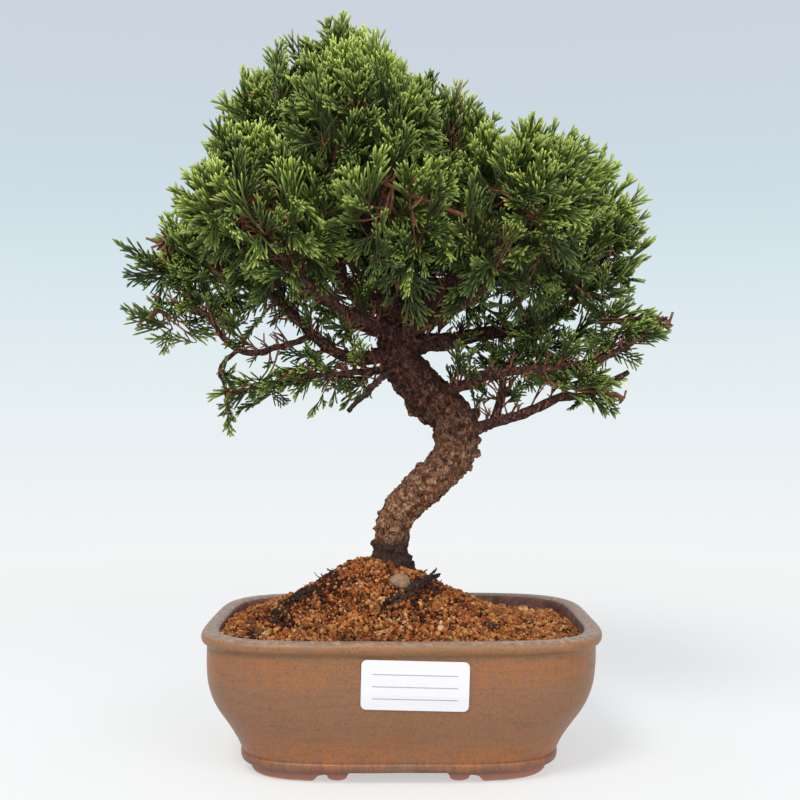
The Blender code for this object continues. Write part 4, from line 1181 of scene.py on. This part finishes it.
TRUNK_FOOT = (-5.6, 2)
FLARES = 9
BARK_VOXEL = 0.62


def make_trunk(finish):
    """The trunk with its knobs, collars, ridge and root flare joined into one flaky skin."""
    path = route_in_frame(TRUNK, 5)
    shape = tubes("trunk_core", [path], 6)
    for up, side, size in KNOBS:
        centre, radius = min(path, key=lambda item: abs(item[0].z - RIM - up * MM))
        turn = math.radians(side)
        out = Vector((math.cos(turn), math.sin(turn), 0.25 * math.sin(up)))
        middle = centre + out * (radius + 0.3 * size * MM)
        matrix = Matrix.Translation(middle) @ Euler((up, side, 0)).to_matrix().to_4x4()
        lump = bmesh.ops.create_icosphere(shape, subdivisions=2, radius=size * MM, matrix=matrix)
        for vert in lump["verts"]:
            vert.co = middle + (vert.co - middle) * (1 + 0.35 * noise.noise(vert.co / (1.6 * MM)))
    for points in LIMBS.values():
        if (Vector(points[0][:3]) - Vector((0, 0, points[0][2]))).length > 35:
            continue
        root = route_in_frame(points, 4)
        collar = [(where, radius * (1.5 - 0.5 * min(1, i / 5))) for i, (where, radius) in enumerate(root[:9])]
        join_tube(shape, "collar", collar, 3)
    join_tube(shape, "ridge", route_in_frame(RIDGE, 4), 3)
    for i in range(FLARES):
        turn = 2 * math.pi * i / FLARES + 0.3
        out = Vector((math.cos(turn), math.sin(turn), 0))
        start = spot(*TRUNK_FOOT, 29) + out * 5.6 * MM
        end = spot(*TRUNK_FOOT, 18) + out * (10.0 + 1.5 * math.sin(3 * turn)) * MM
        middle = (start + end) / 2 + out * 1.0 * MM
        join_tube(shape, "flare", [(start, 2.6 * MM), (middle, 2.8 * MM), (end, 2.2 * MM)], 2)
    rough = piece_from_bmesh("trunk_wood", shape, (finish,))
    skin = rough.modifiers.new("skin", "REMESH")
    skin.mode = "VOXEL"
    skin.voxel_size = BARK_VOXEL * MM
    skin.use_smooth_shade = True
    bpy.context.view_layer.update()
    settled(rough)
    shape = bmesh.new()
    shape.from_mesh(rough.data)
    bmesh.ops.smooth_vert(shape, verts=shape.verts, factor=0.5, use_axis_x=True, use_axis_y=True,
                          use_axis_z=True)
    bark_moves(shape, path, 1.0)
    shape.to_mesh(rough.data)
    shape.free()
    rough.data.materials.clear()
    rough.data.materials.append(finish)
    rough.data.shade_smooth()
    hand_over(rough, "trunk_bark", "trunk")
    return path


def make_limbs(finish, dead_finish):
    """Each limb as one lumpy tapering tube; returns the routes for the twigs to start from."""
    routes = {}
    for name, points in LIMBS.items():
        path = route_in_frame(points, 7)
        routes[name] = path
        wavy = []
        for where, radius in path:
            lumps = 1.0 + 0.22 * noise.noise(where / (3.1 * MM)) + 0.12 * noise.noise(where / (1.3 * MM))
            drift = Vector((noise.noise(where / (7 * MM)), noise.noise(where / (7 * MM) + Vector((9, 2, 4))),
                            noise.noise(where / (7 * MM) + Vector((3, 7, 1)))))
            wavy.append((where + drift * 0.7 * MM, radius * lumps))
        shape = tubes(name, [wavy], 4)
        shape.normal_update()
        for vert in shape.verts:
            vert.co += vert.normal * 0.28 * MM * noise.noise(vert.co / (0.9 * MM))
        own = dead_finish if name == "dead_twig" else finish
        made = piece_from_bmesh(name + "_wood", shape, (own,))
        hand_over(made, "dead_wood" if name == "dead_twig" else "limb_bark", name)
    return routes


# ---------------------------------------------------------------- foliage
CORD_RADIUS = 0.54
GOLDEN_TURN = math.radians(137.5)
HEART = (-3, 3, 118)
SMALL_MASS = 19
SPARSE_ROOM = 330
FULL_ROOM = 200
DEAD_TONE = 0.02
SPARSE = ("left_droop", "left_hanging", "left_under", "low_right_under", "low_right_tip", "whip_tip")
# how thickly each mass is covered; 1 for the masses that aren't named
COVER = {"low_right": 0.26, "low_right_under": 0.24, "low_right_tip": 1.30, "whip_tip": 1.80,
         "right_inner": 0.30, "right_tip": 0.55, "right_front": 0.80, "right_shoulder": 0.80,
         "right_back": 0.75, "left_back": 0.65,
         "left_tip": 0.50, "left_shoulder": 0.50, "left_inner": 0.30, "left_front": 0.75,
         "left_droop": 0.50, "left_hanging": 0.36, "left_under": 0.20, "center_front": 0.46,
         "upper_front": 0.85, "top_left": 0.85}


# the crown's front outline, from its right tip over the top: x and height above the rim, in mm
CROWN_EDGE = (
    (124, 136), (115, 160), (118, 195), (100, 221), (68, 234), (35, 250), (2, 263), (-16, 282),
    (-38, 287), (-59, 276), (-85, 250), (-101, 218), (-119, 190), (-134, 170), (-126, 132), (-95, 106),
    (-78, 90), (-57, 102), (-2, 102), (15, 86), (50, 88), (96, 92), (106, 116),
)
CROWN_MIDDLE = (-2, 183)


def edge_reaches():
    """The outline's points as degrees about CROWN_MIDDLE and reach, with one more at either end."""
    found = []
    for x, up in CROWN_EDGE:
        x, up = x - CROWN_MIDDLE[0], up - CROWN_MIDDLE[1]
        found.append((math.degrees(math.atan2(up, x)) % 360, math.hypot(x, up)))
    found.sort()
    first, last = found[0], found[-1]
    return [(last[0] - 360, last[1]), *found, (first[0] + 360, first[1])]


EDGE_REACHES = edge_reaches()


def crown_share(place):
    """Where a place lies in the crown's front outline: 0 at its middle, 1 on its edge."""
    local = (place - spot(0, 0, 0)) / MM
    near = EYE_DISTANCE / (EYE_DISTANCE + local.y)
    x = local.x * near - CROWN_MIDDLE[0]
    up = (local.z - EYE_UP) * near + EYE_UP - CROWN_MIDDLE[1]
    turn = math.degrees(math.atan2(up, x)) % 360
    after = next(i for i, (angle, _) in enumerate(EDGE_REACHES) if angle > turn)
    (angle0, reach0), (angle1, reach1) = EDGE_REACHES[after - 1], EDGE_REACHES[after]
    return math.hypot(x, up) / (reach0 + (reach1 - reach0) * (turn - angle0) / (angle1 - angle0))


def cord_shape():
    """A scale-leaf cord one unit long up +Z: four sides and a blunt point."""
    shape = bmesh.new()
    age = shape.verts.layers.float.new("age")
    side = shape.verts.layers.float.new("side")
    bmesh.ops.create_cone(shape, cap_ends=True, segments=4, radius1=0.78, radius2=0.96, depth=0.86,
                          matrix=Matrix.Translation((0, 0, 0.43)))
    for vert in shape.verts:
        vert[side] = 1.0 if abs(vert.co.x) > abs(vert.co.y) else 0.0
        base_age = 0.05 if vert.co.x + vert.co.y > 0 else 0.0
        vert[age] = 0.82 if vert.co.z > 0.4 else base_age
    top = max(shape.faces, key=lambda face: face.calc_center_median().z)
    point = bmesh.ops.poke(shape, faces=[top])["verts"][0]
    point.co.z = 1.0
    point[age] = 1.0
    point[side] = 0.5
    return shape


def spray_cords(seed, length, pairs, spread, droop, forked=2):
    """A flat spray along +X in millimetres, as cords: start, way, length, thickness, old and young age."""
    dice = random.Random(seed)
    cords = []
    stem = [Vector((0, 0, 0))]
    pieces = 3
    bend = dice.uniform(-0.14, 0.14)
    for i in range(pieces):
        way = Vector((1, bend * (i - 0.5), -droop * i * 0.4 + dice.uniform(-0.07, 0.07))).normalized()
        stem.append(stem[-1] + way * length / pieces)
    for i in range(pieces):
        last = i == pieces - 1
        way = stem[i + 1] - stem[i]
        cords.append((stem[i], way.normalized(), way.length * (1.25 if last else 1.15), 1.05 - 0.04 * i,
                      0.08 + 0.22 * i, 0.98 if last else 0.30 + 0.22 * i))
    for i in range(pairs * 2):
        t = 0.06 + 0.80 * i / (pairs * 2)
        step = int(t * pieces)
        base = stem[step].lerp(stem[step + 1], t * pieces - step)
        axis = (stem[step + 1] - stem[step]).normalized()
        hand = 1 if i % 2 else -1
        angle = spread + dice.uniform(-0.12, 0.12)
        out = Vector((0, hand, dice.uniform(-0.55, 0.7))).normalized()
        way = (axis * math.cos(angle) + out * math.sin(angle)).normalized()
        full = length * (0.66 - 0.40 * t) * dice.uniform(0.80, 1.18)
        cords.append((base, way, full, 0.95, 0.16 + 0.30 * t, 0.90 + 0.10 * t))
        for fork in range(min(forked, int(full / 4.2))):
            at = base + way * full * (0.30 + 0.27 * fork)
            lean = Vector((0, hand * (1 if fork % 2 else -1), dice.uniform(-0.5, 0.6))).normalized()
            turned = (way * 0.86 + lean * 0.40 + axis * 0.16).normalized()
            cords.append((at, turned, full * dice.uniform(0.46, 0.60), 0.92, 0.40 + 0.25 * t, 0.97))
    return cords


DENSE_SPRAYS = [spray_cords(seed, 20.0 + seed % 5, 4, 0.46, 0.05, 1 + seed % 2) for seed in range(18)]
SHORT_SPRAYS = [spray_cords(seed, 14.0 + seed % 4, 3, 0.55, 0.0) for seed in range(20, 28)]
LONG_SPRAYS = [spray_cords(seed, 24.0 + seed % 4, 5, 0.62, 0.22, 1) for seed in range(40, 48)]


def spray_basis(way, roll):
    """Axes that lay a spray along a direction, flat side up, rolled about it."""
    across = way.cross(Vector((0, 0, 1)))
    if across.length < 0.05:
        across = Vector((1, 0, 0))
    across.normalize()
    up = across.cross(way).normalized()
    return Matrix((way, up.cross(way), up)).transposed() @ Matrix.Rotation(roll, 3, "X")


class Crown:
    """Collects the twigs and the cords of every spray while the tree is grown."""

    def __init__(self, masses):
        self.masses = masses
        self.twigs = []
        self.cords = {name: [] for name in masses}
        self.cords["inner"] = []

    def depth(self, place, skip=None):
        """The least depth of a place in the masses: 0 at a middle, 1 at a surface."""
        return min(depth_in(place, mass) for name, mass in self.masses.items() if name != skip)

    def lay(self, home, stock, place, way, size, tone):
        basis = spray_basis(way, chance.uniform(-1.3, 1.3))
        cords = self.cords[home]
        for start, along, length, thick, old, young in chance.choice(stock):
            turned = basis @ along
            wide = CORD_RADIUS * thick * chance.uniform(0.88, 1.12) * (0.45 + 0.55 * size) * MM
            cords.append((place + basis @ start * (size * MM), turned.to_track_quat("Z", "Y").to_euler(),
                          (wide, wide, length * size * MM),
                          min(1.0, max(0.07, tone + chance.gauss(0, 0.04))) if tone > 0.05 else tone,
                          0, old, young))

    def shoot(self, home, stock, start, end, way, sprays, size, tone, thick=0.62):
        """A thin twig that leaves its end along a direction, with sprays along its outer part."""
        reach = (end - start).length
        bend = end - way * min(0.4 * reach, 9 * MM)
        path = [point.xyz for point in smooth_path([(*start, 1), (*bend, 1), (*end, 1)], 4)]
        last = len(path) - 1
        self.twigs.append([(place, (thick - 0.3 * i / last) * MM) for i, place in enumerate(path)])
        dead = chance.random() < (0.10 if home == "inner" else 0.006)
        roll = chance.uniform(0, 6.28)
        for i in range(sprays):
            t = 0.30 + 0.66 * (i + chance.uniform(0.0, 0.5)) / max(1, sprays)
            step = min(int(t * last), last - 1)
            place = path[step].lerp(path[step + 1], t * last - step)
            along = (path[step + 1] - path[step]).normalized()
            roll += math.pi + chance.uniform(-0.7, 0.7)
            side = along.orthogonal().normalized()
            side.rotate(Matrix.Rotation(roll, 3, along))
            side.z += 0.2
            angle = math.radians(chance.uniform(22, 46))
            leaves = (along * math.cos(angle) + side.normalized() * math.sin(angle)).normalized()
            shade = tone - 0.16 * (1 - t) + chance.gauss(0, 0.07)
            self.lay(home, stock, place, leaves, size * chance.uniform(0.75, 1.0) * (1.06 - 0.22 * t),
                     DEAD_TONE if dead else max(0.08, shade))
        self.lay(home, stock, path[last], (path[last] - path[last - 1]).normalized(), size,
                 DEAD_TONE if dead else max(0.08, tone + 0.05))


def outer_masses():
    """Middle and half size of each foliage mass of the frame."""
    found = {}
    for name in sorted(frame["nodes"]):
        if name.startswith("foliage_"):
            low, high = (Vector(corner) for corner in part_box(name))
            found[name] = ((low + high) / 2, (high - low) / 2)
    return found


def depth_in(place, mass):
    """Under 1 inside a mass's ellipsoid."""
    middle, reach = mass
    return math.sqrt(sum(((place[i] - middle[i]) / reach[i]) ** 2 for i in range(3)))


def even_directions(count):
    """Directions spread evenly over a ball."""
    ways = []
    for i in range(count):
        z = 1 - 2 * (i + 0.5) / count
        ring = math.sqrt(1 - z * z)
        ways.append(Vector((ring * math.cos(GOLDEN_TURN * i), ring * math.sin(GOLDEN_TURN * i), z)))
    return ways


def ellipsoid_area(reach):
    x, y, z = (axis / MM for axis in reach)
    return 4 * math.pi * (((x * y) ** 1.6 + (x * z) ** 1.6 + (y * z) ** 1.6) / 3) ** (1 / 1.6)


def grow_mass(crown, name, skeleton, heart):
    """Cover one foliage mass with shoots that start from a twig inside it."""
    middle, reach = crown.masses[name]
    short_name = name[len("foliage_"):]
    sparse = short_name in SPARSE
    small = max(reach) < SMALL_MASS * MM
    lowest = min(skeleton, key=lambda place: (place - middle).length + 0.8 * max(0, place.z - middle.z))
    beyond = middle + (middle - lowest).normalized() * min(reach) * 0.35
    feeder = smooth_path([(*lowest, 1.4), (*(lowest.lerp(middle, 0.5) - Vector((0, 0, 2 * MM))), 1.2),
                          (*middle, 0.9), (*beyond, 0.6)], 4)
    crown.twigs.append([(point.xyz, point[3] * MM) for point in feeder])
    joints = [point.xyz for point in feeder[4:]]
    for way in even_directions(4 if small else 11):
        fork = middle + Vector((way + jitter(0.25))[i] * reach[i] * chance.uniform(0.30, 0.48)
                               for i in range(3))
        root = min(joints[:9], key=lambda place: (place - fork).length)
        bend = root.lerp(fork, 0.5) + jitter(1.2) * MM
        crown.twigs.append([(root, 0.85 * MM), (bend, 0.72 * MM), (fork, 0.58 * MM)])
        joints += [bend, fork]
    stock = LONG_SPRAYS if sparse else DENSE_SPRAYS
    size = 0.72 if small else 1.0
    length = (24 if sparse else 21) * size * MM
    room = (SPARSE_ROOM if sparse else FULL_ROOM) / COVER.get(short_name, 1.0)
    for way in even_directions(max(4, int(ellipsoid_area(reach) / room))):
        way = (way + jitter(0.14)).normalized()
        edge = 1 / math.sqrt(sum((way[i] / reach[i]) ** 2 for i in range(3)))
        surface = middle + way * edge * chance.uniform(0.78, 0.98)
        other = crown.depth(surface, name)
        if other < 0.80 and chance.random() < 0.88:
            continue
        if not sparse and way.z < -0.35 and chance.random() < 0.5:
            continue
        outward = (surface - heart).normalized()
        own, shared = (0.24, 0.95) if sparse or small else (0.42, 0.62)
        leaves = (way * own + outward * shared + Vector((0, 0, 0.0 if sparse else 0.42)) + jitter(0.22))
        leaves.normalize()
        end = surface - leaves * length * 0.86
        tip = end + leaves * length
        share = crown_share(tip)
        if share > 1.18 and not small:
            continue
        most = chance.uniform(1.0, 1.08) if small else chance.uniform(0.95, 1.07)
        if share > most:
            end -= (tip - heart) * (1 - most / share)
        behind = end - leaves * 6 * MM
        start = min(joints, key=lambda place: (place - behind).length) + jitter(0.4) * MM
        # Tone: sprays facing up get more, painted light from above; sprays tucked into another mass get less,
        # painted shade; the noise and the random part are the foliage's own.
        tone = 0.42 + 0.22 * way.z + 0.40 * noise.noise(surface / (19 * MM)) + chance.gauss(0, 0.17)
        if other < 0.95:
            tone -= 0.15
        crown.shoot(name, stock, start, end, leaves, 2 if small else 3, size * chance.uniform(0.85, 1.1),
                    tone, 0.5)


CROWDED = 30.0
TWIG_STEP = 4.4
FIRST_TWIG = 12.0
BARE_EDGE = 0.92


def grow_inner(crown, limbs):
    """Twigs with small sprays, darkened as painted shade inside the crown, and bare ones, along every limb.
    """
    for name, path in limbs.items():
        if name == "dead_twig":
            continue
        travelled, due = 0.0, FIRST_TWIG * MM
        total = sum((after[0] - before[0]).length for before, after in zip(path, path[1:]))
        for (before, _), (after, _) in zip(path, path[1:]):
            travelled += (after - before).length
            if travelled < due:
                continue
            due = travelled + TWIG_STEP * MM
            along = (after - before).normalized()
            share = travelled / total
            pairs = 2 if travelled < CROWDED * MM else 1
            for leafy in (True, False) * pairs:
                side = (jitter(1.0) + Vector((0, 0, 0.55))).normalized()
                side = (side - along * side.dot(along)).normalized()
                way = (side + along * chance.uniform(0.2, 0.9)).normalized()
                reach = chance.uniform(9, 26) * (1.0 - 0.35 * share) * MM
                end = after + way * reach
                inside = crown.depth(end)
                if inside > 1.05:
                    reach *= 0.55
                    end = after + way * reach
                if crown_share(end) > BARE_EDGE:
                    continue
                bend = after.lerp(end, 0.5) + jitter(1.0) * MM
                if leafy and chance.random() < (0.80 if inside < 1.05 else 0.32):
                    turned = (way + Vector((0, 0, 0.3))).normalized()
                    # A low tone for the inner sprays: painted shade inside the crown.
                    crown.shoot("inner", SHORT_SPRAYS, after, end, turned, 2,
                                chance.uniform(0.62, 0.95), 0.30 + chance.gauss(0, 0.14), 0.6)
                    continue
                fork = bend + (way + jitter(0.5)).normalized() * reach * 0.5
                spur = after.lerp(bend, 0.6) + (way + jitter(0.7)).normalized() * reach * 0.4
                crown.twigs.append([(after, 0.62 * MM), (bend, 0.46 * MM), (end, 0.28 * MM)])
                crown.twigs.append([(bend, 0.42 * MM), (fork, 0.25 * MM)])
                crown.twigs.append([(after.lerp(bend, 0.6), 0.40 * MM), (spur, 0.22 * MM)])


# places and heights of single sprigs that hang clear of the masses: start, end, sprays, size, tone
SPRIGS = (
    ((2, -40, 195), (13, -56, 176), 3, 0.95, 0.72), ((8, -44, 190), (5, -56, 166), 3, 0.9, 0.60),
    ((-38, -12, 126), (-57, -26, 112), 3, 0.8, 0.45), ((-30, -14, 120), (-38, -28, 102), 2, 0.7, 0.40),
    ((-60, -10, 150), (-70, -18, 136), 2, 0.8, 0.45), ((-81, -22, 108), (-80, -23, 96), 3, 0.7, 0.45),
    ((20, 4, 130), (33, 2, 116), 3, 0.75, 0.35), ((28, 6, 132), (44, 6, 122), 3, 0.75, 0.35),
    ((44, -8, 96), (56, -6, 108), 3, 0.75, 0.40), ((36, -5, 92), (34, -4, 108), 3, 0.7, 0.35),
    ((-20, -8, 122), (-26, -10, 134), 3, 0.7, 0.35), ((-12, -4, 122), (-19, -14, 108), 2, 0.6, 0.35),
)


def grow_sprigs(crown):
    """The single sprigs of SPRIGS."""
    for start, end, sprays, size, tone in SPRIGS:
        root, tip = spot(*start), spot(*end)
        crown.shoot("inner", SHORT_SPRAYS if size < 0.9 else DENSE_SPRAYS, root, tip,
                    (tip - root).normalized(), sprays, size, tone, 0.6)


def make_foliage(finish, twig_finish, trunk_path, limbs):
    """Every mass, the inner twigs and the sprigs, as one piece for each mass and one for all twigs."""
    crown = Crown(outer_masses())
    skeleton = [place for path in (trunk_path, *limbs.values()) for place, _ in path]
    heart = spot(*HEART)
    for name in crown.masses:
        grow_mass(crown, name, skeleton, heart)
    grow_inner(crown, limbs)
    grow_sprigs(crown)
    kinds = kinds_collection("cords", [cord_shape()], True)
    group = scatter_group(kinds)
    for name, marks in crown.cords.items():
        if name == "inner":
            hand_over(scatter("leaves_inner", group, marks, finish), "foliage")
        else:
            made = scatter("leaves_" + name[len("foliage_"):], group, marks, finish)
            hand_over(made, "foliage", name)
    drop_collection(kinds)
    shape = tubes("twigs", crown.twigs, 0)
    made = piece_from_bmesh("twigs", shape, (twig_finish,))
    hand_over(made, "limb_bark")


# ---------------------------------------------------------------- studio
HORIZON = (0.807, 0.871, 0.896)
FLOOR_RADIUS = 30.0


def make_world():
    """Pale blue grey above that fades to white at the horizon."""
    world = bpy.data.worlds.new("studio")
    bpy.context.scene.world = world
    world.use_nodes = True
    tree = world.node_tree
    shader = tree.nodes["Background"]
    where = put(tree, "ShaderNodeTexCoord")
    height = put(tree, "ShaderNodeSeparateXYZ", Vector=where.outputs["Generated"]).outputs["Z"]
    sky = ramp(tree, span(tree, height, 0.0, 0.4), (
        (0.0, HORIZON), (0.13, (0.761, 0.847, 0.871)), (0.27, (0.708, 0.807, 0.863)),
        (0.41, (0.651, 0.760, 0.815)), (0.54, (0.612, 0.716, 0.783)), (0.67, (0.604, 0.687, 0.760)),
        (0.80, (0.604, 0.672, 0.745)), (1.0, (0.600, 0.650, 0.730))))
    tree.links.new(sky, shader.inputs["Color"])
    shader.inputs["Strength"].default_value = 1.0


def make_floor():
    """A plain white floor with soft shadows that fades into the background away from the pot."""
    made, tree, shader = make_material("floor", 0.8, 0.1)
    shader.inputs["Base Color"].default_value = (0.83, 0.83, 0.825, 1)
    where = put(tree, "ShaderNodeTexCoord")
    away = put(tree, "ShaderNodeVectorMath", {"operation": "LENGTH"})
    tree.links.new(where.outputs["Object"], away.inputs[0])
    distance = away.outputs["Value"]
    fade = ramp(tree, span(tree, distance, 0.0, 6.0), (
        (0.0, (0.905, 0.905, 0.890)), (0.055, (0.915, 0.918, 0.905)), (0.09, (0.920, 0.930, 0.921)),
        (0.16, (0.880, 0.905, 0.921)), (0.36, (0.847, 0.888, 0.905)), (1.0, HORIZON)))
    glow = put(tree, "ShaderNodeEmission", Color=fade, Strength=1.0)
    near = put(tree, "ShaderNodeMapRange", Value=distance)
    for field, value in (("From Min", 0.28), ("From Max", 0.75), ("To Min", 0.56), ("To Max", 1.0)):
        near.inputs[field].default_value = value
    blend = put(tree, "ShaderNodeMixShader", i0=near.outputs["Result"])
    tree.links.new(shader.outputs[0], blend.inputs[1])
    tree.links.new(glow.outputs[0], blend.inputs[2])
    tree.links.new(blend.outputs[0], tree.nodes["Material Output"].inputs["Surface"])
    shape = bmesh.new()
    bmesh.ops.create_circle(shape, cap_ends=True, segments=96, radius=FLOOR_RADIUS)
    piece_from_bmesh("floor", shape, (made,))


def area_light(name, place, target, size, power, colour=(1, 1, 1)):
    light = bpy.data.lights.new(name, "AREA")
    light.shape = "DISK"
    light.size = size
    light.energy = power
    light.color = colour
    made = bpy.data.objects.new(name, light)
    made.location = place
    made.rotation_euler = (Vector(target) - Vector(place)).to_track_quat("-Z", "Y").to_euler()
    bpy.context.scene.collection.objects.link(made)


def make_camera():
    camera = bpy.data.cameras.new("camera")
    camera.sensor_width = 36.0
    camera.lens = LENS
    made = bpy.data.objects.new("camera", camera)
    made.location = spot(EYE_SIDE, -EYE_DISTANCE, EYE_UP)
    made.rotation_euler = (math.pi / 2 + EYE_TILT, 0, 0)
    bpy.context.scene.collection.objects.link(made)
    bpy.context.scene.camera = made


def make_studio():
    make_world()
    make_floor()
    area_light("key", (-0.45, -0.95, 1.3), (0, 0, 0.2), 0.6, 17.0, (1.0, 0.98, 0.95))
    area_light("fill", (0.75, -1.1, 0.75), (0, 0, 0.15), 0.9, 7.0, (0.98, 0.98, 1.0))
    bpy.context.scene.view_settings.view_transform = "Standard"


def main():
    make_camera()
    make_studio()
    make_pot(glaze_material(), inner_clay_material(), foot_material())
    make_soil_bed(bed_material())
    make_grains(soil_material("soil_crumbs"))
    make_pebble(stone_material())
    dead = dead_wood_material()
    make_fibres(dead)
    make_dead_roots(dead)
    trunk_path = make_trunk(bark_material("trunk_bark_flaky", 0.46, True))
    limb_paths = make_limbs(bark_material("limb_bark_thin", 0.8, False), dead)
    make_foliage(foliage_material(), twig_material(), trunk_path, limb_paths)
    frame["nodes"]["label"].data.materials.clear()
    frame["nodes"]["label"].data.materials.append(label_material())
    for side in ("left", "right"):
        for node, colour, metallic in (("drain_screen_", (0.012, 0.012, 0.012), 0.0),
                                       ("screen_clip_", (0.30, 0.22, 0.18), 1.0)):
            finish = plain_material(node + side, colour, 0.45, metallic, 0.6)
            frame["nodes"][node + side].data.materials.clear()
            frame["nodes"][node + side].data.materials.append(finish)


main()
